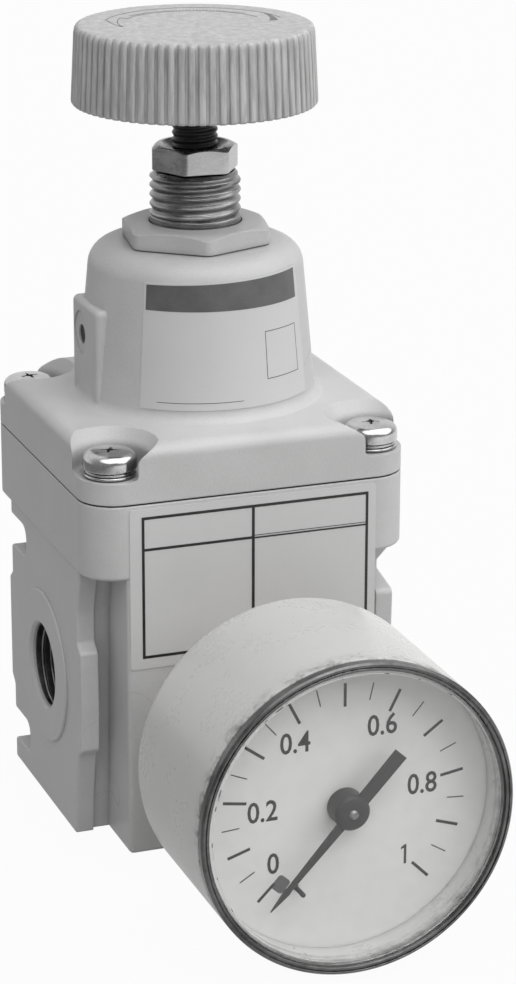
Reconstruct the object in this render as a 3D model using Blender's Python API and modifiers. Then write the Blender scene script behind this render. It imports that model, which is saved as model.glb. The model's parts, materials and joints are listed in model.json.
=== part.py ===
"""Precision pressure regulator with a dial gauge, built as its separate pieces. Metres, +Z up.

The origin is the centre of the bottom cap's flat face, on the axis of the knob. The gauge faces -Y, the
inlet opens towards -X and the outlet towards +X.
"""

import math

import bmesh
import bpy
from mathutils import Matrix, Vector

# Clearances, and how far a cutting tool runs past the face that it cuts
GAP = 0.0002
SHEET_GAP = 0.0001
RUNNING = 0.0001
PAST = 0.0010

# Body casting
BODY_W = 0.0500
BODY_D = 0.0500
BODY_H = 0.0541
BODY_CORNER_R = 0.0056
CORE_W = 0.0386
UPPER_BLOCK_H = 0.0111
PLATE_LIP_T = 0.0031
PLATE_LIP_STEP = 0.0009
PLATE_SIDE_Y = 0.0160
PLATE_BULGE_Y = 0.0184
PLATE_SMOOTH_Y = 0.0177
PLATE_TOE_Y = 0.0141
BULGE_Z0 = 0.0136
BULGE_BELOW_BLOCK = 0.0130
BULGE_SLOPE = 0.0012
NOTCH_H = 0.0050
NOTCH_END_R = 0.0021
NOTCH_REACH_Y = 0.0090
NOTCH_LOW_Z = 0.0059
NOTCH_BELOW_BLOCK = 0.0047

# Ports in the body, the height a share of the body's
PORT_H_SHARE = 0.40111
PORT_THREAD_R = 0.0059
PORT_MOUTH_R = 0.0084
PORT_MOUTH_DEPTH = 0.0012
PORT_CONE_DEPTH = 0.0016
PORT_CONE_STEP = 0.0007
PORT_DEPTH = 0.0125
PORT_DRILL_TIP = 0.0012
PORT_BOSS_R = 0.0118
PORT_BOSS_H = 0.0004
GAUGE_BELOW_PORT = 0.0014
GAUGE_PORT_R = 0.0049
GAUGE_PORT_DEPTH = 0.0110
PASSAGE_R = 0.0033
SENSE_R = 0.0012

# Valve chambers
CAP_BORE_R = 0.0112
CAP_BORE_DEPTH = 0.0095
CAP_BORE_LEAD = 0.0008
VALVE_CHAMBER_R = 0.0080
SEAT_BELOW_PORT = 0.0007
SEAT_T = 0.0030
SEAT_HOLE_R = 0.0042
GUIDE_WEB_T = 0.0040
DIAPHRAGM_CHAMBER_R = 0.0150
DIAPHRAGM_CHAMBER_H = 0.0043
BLOCK_BORE_R = 0.0186
BLOCK_BORE_DEPTH = 0.0108

# Bottom cap
CAP_FLANGE_R = 0.0150
CAP_FLANGE_H = 0.0038
CAP_EDGE = 0.0006
CAP_SPIGOT_H = 0.0080
CAP_GUIDE_DEPTH = 0.0060
CAP_PIN_HOLE_R = 0.0013
CAP_PIN_HOLE_AT = 0.0105
CAP_PIN_HOLE_DEPTH = 0.0022
O_RING_WIRE_R = 0.0009
O_RING_R = 0.01015
O_RING_GROOVE_H = 0.0022
O_RING_Z = 0.0041

# Main valve and its spring
VALVE_DISC_R = 0.0058
VALVE_DISC_H = 0.0027
VALVE_TIP_R = 0.0016
VALVE_TIP_H = 0.0053
VALVE_STEM_R = 0.0028
VALVE_STEM_IN_CAP = 0.0027
VALVE_SPRING_R = 0.0046
VALVE_SPRING_WIRE_R = 0.0004
VALVE_SPRING_TURNS = 4.5
COIL_CLOSED_TURNS = 1.0
COIL_CLOSED_RISE = 2.2

# Main diaphragm
MAIN_SHEET_T = 0.0005
PLATE_R = 0.0110
LOWER_PLATE_T = 0.0018
UPPER_PLATE_T = 0.0015
STEM_R = 0.0021
STUD_R = 0.0018
RELIEF_R = 0.0007
STEM_NUT_AF = 0.0060
STEM_NUT_H = 0.0018

# Nozzle block, the fixed divider over the main diaphragm
BLOCK_FIT = 0.0003
BLOCK_H = 0.0099
BLOCK_RECESS_R = 0.0145
BLOCK_RECESS_H = 0.0043
BLOCK_TOP_RECESS_R = 0.0130
BLOCK_TOP_RECESS_H = 0.0016
NOZZLE_R = 0.0015
NOZZLE_HEAD_R = 0.0026
NOZZLE_HEAD_H = 0.0006
NOZZLE_BORE_R = 0.0004
NOZZLE_SHANK_H = 0.0036

# Control diaphragm, flapper and set spring
CONTROL_SHEET_T = 0.0004
FLAPPER_R = 0.0050
FLAPPER_T = 0.0007
LOWER_SEAT_R = 0.0115
LOWER_SEAT_T = 0.0017
SEAT_PILOT_R = 0.0077
SEAT_PILOT_H = 0.0016
SEAT_STUD_R = 0.0013
SPRING_R = 0.0090
SPRING_WIRE_R = 0.00095
SPRING_TURNS = 5.5
UPPER_SEAT_R = 0.0114
UPPER_SEAT_T = 0.0016
UPPER_BOSS_R = 0.0042
UPPER_BOSS_H = 0.0024
BALL_R = 0.0020
BALL_SOCKET_DEPTH = 0.00185

# Bonnet
FLANGE_H = 0.0083
FLANGE_EDGE_R = 0.0020
CONE_R0 = 0.0179
CONE_R1 = 0.0159
CONE_FOOT_H = 0.0012
CONE_FOOT_R = 0.0196
CONE_FOOT_SINK = 0.0002
SHOULDER_R = 0.0036
BONNET_H = 0.0316
BONNET_ROOF_T = 0.0040
BONNET_SKIRT_R = 0.0140
BONNET_SKIRT_H = 0.0058
BONNET_SKIRT_SLOPE_H = 0.0018
SPRING_CHAMBER_R = 0.0122
SCREW_INSET = 0.0048
POCKET_R = 0.0062
POCKET_FLOOR_H = 0.0031
PAD_X = 0.01675
PAD_HALF_W = 0.0063
PAD_TOP_H = 0.0248
VENT_Y = 0.0026
VENT_H = 0.0200
VENT_RECESS_R = 0.0034
VENT_RECESS_DEPTH = 0.0006
VENT_R = 0.0012
VENT_END_X = 0.0090

# Bonnet screws, pan heads on spring washers
SCREW_R = 0.0020
SCREW_HOLE_R = 0.0022
SCREW_HEAD_R = 0.0040
SCREW_HEAD_H = 0.0027
SCREW_DOME_SHARE = 0.45
SCREW_DOME_R_SHARE = 0.7
SCREW_DOME_DROP_SHARE = 0.2
SCREW_TIP = 0.0006
SCREW_DEPTH = 0.0092
SCREW_HOLE_DEPTH = 0.0096
WASHER_R = 0.0038
WASHER_T = 0.0010
WASHER_SPLIT = 0.0006
WASHER_TURN = 0.8

# Neck, nuts, adjusting screw and knob
NECK_R = 0.00677
NECK_FLANGE_R = 0.0095
NECK_FLANGE_T = 0.0021
NECK_RISE = 0.0106
NECK_CHAMFER = 0.0005
PANEL_NUT_AF = 0.0204
PANEL_NUT_H = 0.0029
PANEL_NUT_TURN = math.radians(-9.0)
LOCK_NUT_AF = 0.0115
LOCK_NUT_H = 0.0037
LOCK_NUT_TURN = math.radians(-29.0)
NUT_CHAMFER_SHARE = 0.8
NUT_FACE_SHARE = 0.97
NUT_CHAMFER_PAST = 0.0003
ADJUST_R = 0.0032
ADJUST_TIP = 0.0008
ADJUST_TOP_EDGE = 0.0004
ADJUST_BELOW_BUSH = 0.0010
THREAD_FIT = 0.0001
KNOB_RISE = 0.0062
KNOB_H = 0.0115
KNOB_R0 = 0.01817
KNOB_R1 = 0.01757
KNOB_RIBS = 75
KNOB_RIB_DEPTH = 0.00045
KNOB_WALL = 0.0022
KNOB_ROOF_T = 0.0026
KNOB_HUB_R = 0.0062
KNOB_EDGE_R = 0.0007
KNOB_WEB_T = 0.0012
KNOB_WEBS = 6

# Gauge, distances along Y from the body's front face
GAUGE_R = 0.0230
GAUGE_STANDOFF = 0.0131
GAUGE_CASE_D = 0.0292
GAUGE_WALL = 0.0010
GAUGE_BACK_T = 0.0014
GAUGE_BACK_R = 0.0028
DIAL_DEPTH = 0.0065
DIAL_T = 0.0005
DIAL_HOLE_R = 0.0011
LENS_T = 0.0016
LENS_EDGE = 0.0006
LENS_INSET = 0.0004
LENS_SKIRT_T = 0.0009
STEM_SQUARE = 0.0110
STEM_SQUARE_EDGE = 0.0006
STEM_THREAD_R = 0.0048
STEM_THREAD_L = 0.0095
SOCKET_BLOCK = 0.0090
SOCKET_BORE_R = 0.0012
BOURDON_R = 0.0150
BOURDON_TUBE_R = 0.0013
BOURDON_START = math.radians(205.0)
BOURDON_SWEEP = math.radians(235.0)
BOURDON_FOOT_SHARE = 0.5
BOURDON_LEAD_STEPS = 6
BOURDON_STEPS = 22
MOVEMENT_PLATE_T = 0.0007
MOVEMENT_GAP = 0.0040
MOVEMENT_FRONT_DEPTH = 0.0022
MOVEMENT_W = 0.0110
MOVEMENT_FOOT_SHARE = 1.4
MOVEMENT_HEAD_SHARE = 0.8
MOVEMENT_CUT_W_SHARE = 0.5
MOVEMENT_CUT_H_SHARE = 0.4
PILLAR_INSET = 0.00112
PILLAR_FOOT_INSET = 0.00126
ARBOR_R = 0.0007
ARBOR_NOSE = 0.0026
GEAR_MODULE = 0.00035
GEAR_T = 0.0010
TOOTH_TIP = 0.8
TOOTH_ROOT = 1.15
TOOTH_FOOT_SHARE = 0.29
TOOTH_CREST_SHARE = 0.11
PINION_TEETH = 12
SECTOR_TEETH = 72
SECTOR_HALF_SWEEP = math.radians(32.0)
SECTOR_REST = math.radians(22.5)
SECTOR_HUB_R = 0.0018
SECTOR_HUB_INSET = 0.0004
SECTOR_RIM = 2.6
SECTOR_ARM_SHARE = 0.75
SECTOR_NECK_SHARE = 0.55
POINTER_HUB_R = 0.0026
POINTER_HUB_RISE = 0.0008
POINTER_HUB_EDGE = 0.0004
POINTER_LIFT = 0.0028
POINTER_T = 0.0004
POINTER_L = 0.0176
POINTER_TAIL = 0.0105
POINTER_W = 0.0016
POINTER_TAIL_W_SHARE = 1.15
POINTER_TAPER_W_SHARE = 0.75
POINTER_TAPER_L_SHARE = 0.75
POINTER_REST = math.radians(222.5)
STOP_PIN_R = 0.0005
STOP_PIN_AT = 0.0132
STOP_PIN_ANGLE = math.radians(213.0)
STOP_PIN_RISE = 0.0034

# Rear port plug
PLUG_L = 0.0075
PLUG_HEX_AF = 0.0050
PLUG_HEX_DEPTH = 0.0042
PLUG_INSET = 0.0006
PLUG_EDGE = 0.0004

SIDES = 24
FINE_SIDES = 36
ROUND = 2.0 * math.pi

# Heights and places worked out from the sizes above
BODY_Z0 = CAP_FLANGE_H + GAP
BODY_Z1 = BODY_Z0 + BODY_H
SEAM = CONTROL_SHEET_T + 2.0 * SHEET_GAP
BONNET_Z0 = BODY_Z1 + SEAM
FLANGE_Z1 = BONNET_Z0 + FLANGE_H
BONNET_Z1 = BONNET_Z0 + BONNET_H
CAP_Z1 = CAP_FLANGE_H + CAP_SPIGOT_H
CAP_SPIGOT_R = CAP_BORE_R - 2.0 * RUNNING
BLOCK_UNDER_Z = BODY_Z1 - UPPER_BLOCK_H
PORT_Z = BODY_Z0 + BODY_H * PORT_H_SHARE
SEAT_UNDER = PORT_Z - SEAT_BELOW_PORT
SEAT_TOP = SEAT_UNDER + SEAT_T
LEDGE_Z = BODY_Z1 - BLOCK_BORE_DEPTH
WEB_Z1 = LEDGE_Z - DIAPHRAGM_CHAMBER_H
WEB_Z0 = WEB_Z1 - GUIDE_WEB_T
MAIN_SHEET_Z0 = LEDGE_Z + SHEET_GAP
MAIN_SHEET_Z1 = MAIN_SHEET_Z0 + MAIN_SHEET_T
LOWER_PLATE_Z1 = MAIN_SHEET_Z0 - SHEET_GAP
LOWER_PLATE_Z0 = LOWER_PLATE_Z1 - LOWER_PLATE_T
UPPER_PLATE_Z0 = MAIN_SHEET_Z1 + SHEET_GAP
UPPER_PLATE_Z1 = UPPER_PLATE_Z0 + UPPER_PLATE_T
VALVE_DISC_Z1 = SEAT_UNDER - GAP
VALVE_DISC_Z0 = VALVE_DISC_Z1 - VALVE_DISC_H
VALVE_TIP_Z1 = VALVE_DISC_Z1 + VALVE_TIP_H
VALVE_STEM_Z0 = CAP_Z1 - VALVE_STEM_IN_CAP
STEM_Z0 = VALVE_TIP_Z1 + GAP
BLOCK_Z0 = MAIN_SHEET_Z1 + SHEET_GAP
BLOCK_Z1 = BLOCK_Z0 + BLOCK_H
BLOCK_WEB_Z0 = BLOCK_Z0 + BLOCK_RECESS_H
BLOCK_WEB_Z1 = BLOCK_Z1 - BLOCK_TOP_RECESS_H
BLOCK_R = BLOCK_BORE_R - BLOCK_FIT
CONTROL_SHEET_Z0 = BODY_Z1 + SHEET_GAP
CONTROL_SHEET_Z1 = CONTROL_SHEET_Z0 + CONTROL_SHEET_T
FLAPPER_Z1 = CONTROL_SHEET_Z0 - SHEET_GAP
FLAPPER_Z0 = FLAPPER_Z1 - FLAPPER_T
LOWER_SEAT_Z0 = CONTROL_SHEET_Z1 + SHEET_GAP
LOWER_SEAT_Z1 = LOWER_SEAT_Z0 + LOWER_SEAT_T
ROOF_Z = BONNET_Z1 - BONNET_ROOF_T
NECK_FLANGE_Z1 = ROOF_Z - GAP
NECK_FLANGE_Z0 = NECK_FLANGE_Z1 - NECK_FLANGE_T
NECK_Z1 = BONNET_Z1 + NECK_RISE
PANEL_NUT_Z0 = BONNET_Z1 + SHEET_GAP
LOCK_NUT_Z0 = NECK_Z1 + GAP
LOCK_NUT_Z1 = LOCK_NUT_Z0 + LOCK_NUT_H
ADJUST_Z0 = NECK_FLANGE_Z0 + ADJUST_BELOW_BUSH
BALL_Z = ADJUST_Z0 - SHEET_GAP - BALL_R
SOCKET_FLOOR_Z = BALL_Z - BALL_R - SHEET_GAP
UPPER_BOSS_Z1 = SOCKET_FLOOR_Z + BALL_SOCKET_DEPTH
UPPER_SEAT_Z1 = UPPER_BOSS_Z1 - UPPER_BOSS_H
UPPER_SEAT_Z0 = UPPER_SEAT_Z1 - UPPER_SEAT_T
KNOB_Z0 = LOCK_NUT_Z1 + KNOB_RISE
KNOB_Z1 = KNOB_Z0 + KNOB_H
GAUGE_AXIS_Z = PORT_Z - GAUGE_BELOW_PORT
FRONT_Y = -BODY_D / 2.0
CASE_BACK_Y = FRONT_Y - GAUGE_STANDOFF
CASE_FRONT_Y = CASE_BACK_Y - GAUGE_CASE_D
CASE_INNER_R = GAUGE_R - GAUGE_WALL
DIAL_FRONT_Y = CASE_FRONT_Y + DIAL_DEPTH
DIAL_BACK_Y = DIAL_FRONT_Y + DIAL_T
FRONT_PLATE_Y0 = DIAL_BACK_Y + MOVEMENT_FRONT_DEPTH
FRONT_PLATE_Y1 = FRONT_PLATE_Y0 + MOVEMENT_PLATE_T
BACK_PLATE_Y0 = FRONT_PLATE_Y1 + MOVEMENT_GAP
BACK_PLATE_Y1 = BACK_PLATE_Y0 + MOVEMENT_PLATE_T
GEAR_CENTRES = GEAR_MODULE * (PINION_TEETH + SECTOR_TEETH) / 2.0


def clear_scene():
    for group in (bpy.data.objects, bpy.data.meshes, bpy.data.curves, bpy.data.materials):
        for item in list(group):
            group.remove(item)
    for item in list(bpy.data.collections):
        bpy.data.collections.remove(item)


clear_scene()
PARTS = bpy.data.collections.new("precision_pressure_regulator")
CUTTERS = bpy.data.collections.new("cutters")
bpy.context.scene.collection.children.link(PARTS)
bpy.context.scene.collection.children.link(CUTTERS)


def finish_material(name, colour, roughness, metallic):
    made = bpy.data.materials.new(name)
    made.use_nodes = True
    shader = made.node_tree.nodes["Principled BSDF"]
    shader.inputs["Base Color"].default_value = (*colour, 1.0)
    shader.inputs["Roughness"].default_value = roughness
    shader.inputs["Metallic"].default_value = metallic
    made.diffuse_color = (*colour, 1.0)
    return made


FINISHES = {
    "casting_paint": ((0.62, 0.62, 0.62), 0.45, 0.0),
    "gauge_paint": ((0.80, 0.80, 0.78), 0.35, 0.0),
    "knob_plastic": ((0.60, 0.60, 0.60), 0.5, 0.0),
    "steel": ((0.50, 0.50, 0.50), 0.3, 1.0),
    "chrome": ((0.75, 0.75, 0.75), 0.12, 1.0),
    "black_steel": ((0.05, 0.05, 0.05), 0.45, 0.6),
    "aluminium": ((0.70, 0.70, 0.70), 0.4, 1.0),
    "brass": ((0.68, 0.55, 0.30), 0.3, 1.0),
    "rubber": ((0.04, 0.04, 0.04), 0.7, 0.0),
    "dial_paint": ((0.85, 0.85, 0.85), 0.6, 0.0),
    "black_paint": ((0.03, 0.03, 0.03), 0.5, 0.0),
    "clear": ((0.95, 0.95, 0.95), 0.05, 0.0),
}


def new_part(name, mesh, finish):
    part = bpy.data.objects.new(name, mesh)
    part.data.materials.append(finish_material(name, *FINISHES[finish]))
    PARTS.objects.link(part)
    return part


def new_cutter(name, mesh):
    cutter = bpy.data.objects.new(name, mesh)
    cutter.hide_render = True
    cutter.display_type = "WIRE"
    CUTTERS.objects.link(cutter)
    return cutter


def mesh_from(name, build):
    mesh = bpy.data.meshes.new(name)
    shape = bmesh.new()
    build(shape)
    bmesh.ops.recalc_face_normals(shape, faces=shape.faces)
    shape.to_mesh(mesh)
    shape.free()
    return mesh


def turned_mesh(name, profile, sides=SIDES):
    """The profile of (radius, height) points, turned once about Z. Points on the axis close the ends."""

    def build(shape):
        points = [shape.verts.new((radius, 0.0, height)) for radius, height in profile]
        edges = [shape.edges.new(pair) for pair in zip(points, points[1:])]
        if profile[0][0] > 0.0:
            edges.append(shape.edges.new((points[-1], points[0])))
        bmesh.ops.spin(
            shape,
            geom=points + edges,
            axis=(0.0, 0.0, 1.0),
            cent=(0.0, 0.0, 0.0),
            steps=sides,
            angle=ROUND,
            use_merge=True,
        )
        bmesh.ops.remove_doubles(shape, verts=shape.verts, dist=0.000001)

    mesh = mesh_from(name, build)
    mesh.shade_smooth()
    mesh.set_sharp_from_angle(angle=math.radians(35.0))
    return mesh


def solid_profile(radius, low, high, chamfer=0.0):
    """A turned disc or rod from low to high, with a chamfer at each end."""
    return [
        (0.0, high),
        (radius - chamfer, high),
        (radius, high - chamfer),
        (radius, low + chamfer),
        (radius - chamfer, low),
        (0.0, low),
    ] if chamfer else [(0.0, high), (radius, high), (radius, low), (0.0, low)]


def ring_profile(inner, outer, low, high):
    return [(outer, high), (outer, low), (inner, low), (inner, high)]


def prism_mesh(name, outline, low, high):
    """The outline of (x, y) points, as a solid from one height to the other."""

    def build(shape):
        base = [shape.verts.new((x, y, low)) for x, y in outline]
        face = shape.faces.new(base)
        raised = bmesh.ops.extrude_face_region(shape, geom=[face])["geom"]
        moved = [item for item in raised if isinstance(item, bmesh.types.BMVert)]
        bmesh.ops.translate(shape, verts=moved, vec=(0.0, 0.0, high - low))

    return mesh_from(name, build)


def box_mesh(name, low, high):
    size = [b - a for a, b in zip(low, high)]
    middle = [(a + b) / 2.0 for a, b in zip(low, high)]

    def build(shape):
        bmesh.ops.create_cube(shape, size=1.0)
        bmesh.ops.scale(shape, vec=size, verts=shape.verts)
        bmesh.ops.translate(shape, vec=middle, verts=shape.verts)

    return mesh_from(name, build)


def arc(centre_x, centre_y, radius, start, sweep, steps):
    """Points along an arc, both ends included."""
    return [
        (
            centre_x + radius * math.cos(start + sweep * step / steps),
            centre_y + radius * math.sin(start + sweep * step / steps),
        )
        for step in range(steps + 1)
    ]


def rounded_rectangle(width, depth, radius, steps=6):
    points = []
    for quarter, (sx, sy) in enumerate(((1, 1), (-1, 1), (-1, -1), (1, -1))):
        points += arc(
            sx * (width / 2.0 - radius),
            sy * (depth / 2.0 - radius),
            radius,
            quarter * ROUND / 4.0,
            ROUND / 4.0,
            steps,
        )
    return points


def hexagon(across_flats, turn=0.0):
    radius = across_flats / 2.0 / math.cos(ROUND / 12.0)
    return [
        (radius * math.sin(turn + k * ROUND / 6.0), -radius * math.cos(turn + k * ROUND / 6.0))
        for k in range(6)
    ]


def boolean(target, tool, operation="DIFFERENCE"):
    step = target.modifiers.new(tool.name, "BOOLEAN")
    step.operation = operation
    step.object = tool
    step.solver = "MANIFOLD"


def drill(target, name, start, end, radius, sides=16):
    """A straight round hole through the target, from one point to another."""
    run = Vector(end) - Vector(start)
    hole = new_cutter(name, turned_mesh(name, solid_profile(radius, 0.0, run.length), sides))
    hole.matrix_world = Matrix.Translation(start) @ run.to_track_quat("Z", "Y").to_matrix().to_4x4()
    boolean(target, hole)
    return hole


def turned_cut(target, name, profile, place=None, sides=SIDES):
    tool = new_cutter(name, turned_mesh(name, profile, sides))
    if place is not None:
        tool.matrix_world = place
    boolean(target, tool)
    return tool


def bevel(part, width, segments, angle_deg=40.0):
    step = part.modifiers.new("edges", "BEVEL")
    step.width = width
    step.segments = segments
    step.limit_method = "ANGLE"
    step.angle_limit = math.radians(angle_deg)
    return step


def facing(direction, at):
    """A placement that turns local +Z to the direction, at the given point."""
    turn = Vector(direction).to_track_quat("Z", "Y").to_matrix().to_4x4()
    return Matrix.Translation(at) @ turn


GAUGE_AXIS = (0.0, 0.0, GAUGE_AXIS_Z)


def on_gauge_axis(y):
    """Local +Z runs out of the gauge's face, local +Y is up and local +X is to the viewer's right."""
    columns = Matrix(((1.0, 0.0, 0.0), (0.0, 0.0, -1.0), (0.0, 1.0, 0.0)))
    return Matrix.Translation((0.0, y, GAUGE_AXIS_Z)) @ columns.to_4x4()


def plate_outline(grow):
    """A side plate in (y, z): clamp notches and a raised middle towards +y, a smooth edge towards -y."""
    side = PLATE_SIDE_Y + grow
    bulge_z1 = BLOCK_UNDER_Z - BULGE_BELOW_BLOCK
    points = [(side, BODY_Z0)]
    points += notch_points(side, BODY_Z0 + NOTCH_LOW_Z)
    points += [(side, BODY_Z0 + BULGE_Z0 - BULGE_SLOPE), (PLATE_BULGE_Y, BODY_Z0 + BULGE_Z0)]
    points += [(PLATE_BULGE_Y, bulge_z1), (side, bulge_z1 + BULGE_SLOPE)]
    points += notch_points(side, BLOCK_UNDER_Z - NOTCH_BELOW_BLOCK)
    points += [(side, BLOCK_UNDER_Z + PAST), (-PLATE_SMOOTH_Y - grow, BLOCK_UNDER_Z + PAST)]
    points += [(-PLATE_SMOOTH_Y - grow, BLOCK_UNDER_Z - PAST)]
    points += [(-PLATE_SIDE_Y - grow, bulge_z1 + (BLOCK_UNDER_Z - bulge_z1) / 2.0)]
    points += [(-PLATE_SIDE_Y - grow, bulge_z1), (-PLATE_SMOOTH_Y - grow, PORT_Z)]
    points += [(-PLATE_SIDE_Y - grow, BODY_Z0 + BULGE_Z0 - BULGE_SLOPE)]
    points += [(-PLATE_TOE_Y - grow, BODY_Z0 + NOTCH_LOW_Z), (-PLATE_TOE_Y - grow, BODY_Z0)]
    return points


def notch_points(side_y, middle_z):
    """The edge of one clamp notch, a slot with rounded inner corners."""
    low = middle_z - NOTCH_H / 2.0
    high = middle_z + NOTCH_H / 2.0
    centre_y = NOTCH_REACH_Y + NOTCH_END_R
    under = arc(centre_y, low + NOTCH_END_R, NOTCH_END_R, -ROUND / 4.0, -ROUND / 4.0, 3)
    over = arc(centre_y, high - NOTCH_END_R, NOTCH_END_R, ROUND / 2.0, -ROUND / 4.0, 3)
    return [(side_y, low)] + under + over + [(side_y, high)]


def standing_plate(name, side, near, far, outline):
    """The (y, z) outline as a solid between two distances from the middle, half turned for the +X side."""
    tool = new_cutter(name, prism_mesh(name, outline, near, far))
    turn = Matrix(((0.0, 0.0, 1.0), (1.0, 0.0, 0.0), (0.0, 1.0, 0.0))).to_4x4()
    half_turn = Matrix.Rotation(ROUND / 2.0 if side > 0.0 else 0.0, 4, "Z")
    tool.matrix_world = half_turn @ turn
    return tool


def body_casting():
    outline = rounded_rectangle(BODY_W, BODY_D, BODY_CORNER_R)
    mesh = prism_mesh("body_casting", outline, BLOCK_UNDER_Z, BODY_Z1)
    body = new_part("body_casting", mesh, "casting_paint")
    core_low = (-CORE_W / 2.0, FRONT_Y, BODY_Z0)
    core_high = (CORE_W / 2.0, -FRONT_Y, BODY_Z1 - UPPER_BLOCK_H / 2.0)
    boolean(body, new_cutter("body_core", box_mesh("body_core", core_low, core_high)), "UNION")
    face = BODY_W / 2.0 - PORT_BOSS_H
    inner = BODY_W / 2.0 - PLATE_LIP_T
    root = CORE_W / 2.0 - PAST
    for side, name in ((-1.0, "inlet"), (1.0, "outlet")):
        lip = standing_plate(name + "_lip", side, -face, -inner, plate_outline(PLATE_LIP_STEP))
        boolean(body, lip, "UNION")
        web = standing_plate(name + "_plate", side, -inner - PAST, -root, plate_outline(0.0))
        boolean(body, web, "UNION")
        ring = solid_profile(PORT_BOSS_R, -2.0 * PAST, PORT_BOSS_H)
        boss = new_cutter(name + "_boss", turned_mesh(name + "_boss", ring, FINE_SIDES))
        boss.matrix_world = facing((side, 0.0, 0.0), (side * face, 0.0, PORT_Z))
        boolean(body, boss, "UNION")
    cut_body_chambers(body)
    return body


def port_profile():
    return [
        (0.0, 2.0 * PAST),
        (PORT_MOUTH_R, 2.0 * PAST),
        (PORT_MOUTH_R, -PORT_MOUTH_DEPTH),
        (PORT_THREAD_R + PORT_CONE_STEP, -PORT_MOUTH_DEPTH - PORT_CONE_DEPTH),
        (PORT_THREAD_R, -PORT_DEPTH),
        (0.0, -PORT_DEPTH - PORT_DRILL_TIP),
    ]


def cut_body_chambers(body):
    cap_step = BODY_Z0 + CAP_BORE_DEPTH
    upper_middle = (SEAT_TOP + WEB_Z0) / 2.0
    turned_cut(
        body,
        "valve_bore",
        [
            (0.0, SEAT_TOP + PAST),
            (SEAT_HOLE_R, SEAT_TOP + PAST),
            (SEAT_HOLE_R, SEAT_UNDER),
            (VALVE_CHAMBER_R, SEAT_UNDER),
            (VALVE_CHAMBER_R, cap_step),
            (CAP_BORE_R, cap_step),
            (CAP_BORE_R, BODY_Z0 + CAP_BORE_LEAD),
            (CAP_BORE_R + CAP_BORE_LEAD, BODY_Z0 - PAST),
            (0.0, BODY_Z0 - PAST),
        ],
    )
    turned_cut(
        body,
        "upper_bore",
        [
            (0.0, BODY_Z1 + PAST),
            (BLOCK_BORE_R, BODY_Z1 + PAST),
            (BLOCK_BORE_R, LEDGE_Z),
            (DIAPHRAGM_CHAMBER_R, LEDGE_Z),
            (DIAPHRAGM_CHAMBER_R, WEB_Z1),
            (STEM_R + RUNNING, WEB_Z1),
            (STEM_R + RUNNING, WEB_Z0),
            (VALVE_CHAMBER_R, WEB_Z0),
            (VALVE_CHAMBER_R, SEAT_TOP),
            (0.0, SEAT_TOP),
        ],
    )
    for side, name in ((-1.0, "inlet"), (1.0, "outlet")):
        mouth = facing((side, 0.0, 0.0), (side * BODY_W / 2.0, 0.0, PORT_Z))
        turned_cut(body, name + "_port", port_profile(), mouth)
    inner_x = BODY_W / 2.0 - PORT_DEPTH
    lower_end = (-VALVE_CHAMBER_R + 2.0 * PAST, 0.0, SEAT_UNDER - VALVE_CHAMBER_R)
    upper_end = (VALVE_CHAMBER_R - 2.0 * PAST, 0.0, upper_middle)
    drill(body, "inlet_passage", (-inner_x - 2.0 * PAST, 0.0, PORT_Z - PAST), lower_end, PASSAGE_R)
    drill(body, "outlet_passage", (inner_x + 2.0 * PAST, 0.0, PORT_Z + PAST), upper_end, PASSAGE_R)
    for side, name in ((-1.0, "front"), (1.0, "rear")):
        face = side * BODY_D / 2.0
        bottom = face - side * GAUGE_PORT_DEPTH
        start = (0.0, face + side * PAST, GAUGE_AXIS_Z)
        drill(body, name + "_gauge_port", start, (0.0, bottom, GAUGE_AXIS_Z), GAUGE_PORT_R, 24)
        sense_start = (0.0, bottom + side * PAST, GAUGE_AXIS_Z + PAST)
        sense_end = (0.0, side * (VALVE_CHAMBER_R - 2.0 * PAST), upper_middle)
        drill(body, name + "_sense", sense_start, sense_end, SENSE_R, 12)
    feedback_y = DIAPHRAGM_CHAMBER_R / 3.0
    drill(body, "feedback", (0.0, feedback_y, WEB_Z0 - PAST), (0.0, feedback_y, WEB_Z1 + PAST), SENSE_R, 12)
    for number, (x, y) in enumerate(corner_places(), 1):
        top = (x, y, BODY_Z1 + PAST)
        drill(body, f"tapped_hole_{number}", top, (x, y, BODY_Z1 - SCREW_HOLE_DEPTH), SCREW_R + RUNNING, 16)


def corner_places():
    x = BODY_W / 2.0 - SCREW_INSET
    y = BODY_D / 2.0 - SCREW_INSET
    return [(sx * x, sy * y) for sx, sy in ((-1, -1), (1, -1), (1, 1), (-1, 1))]


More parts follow.
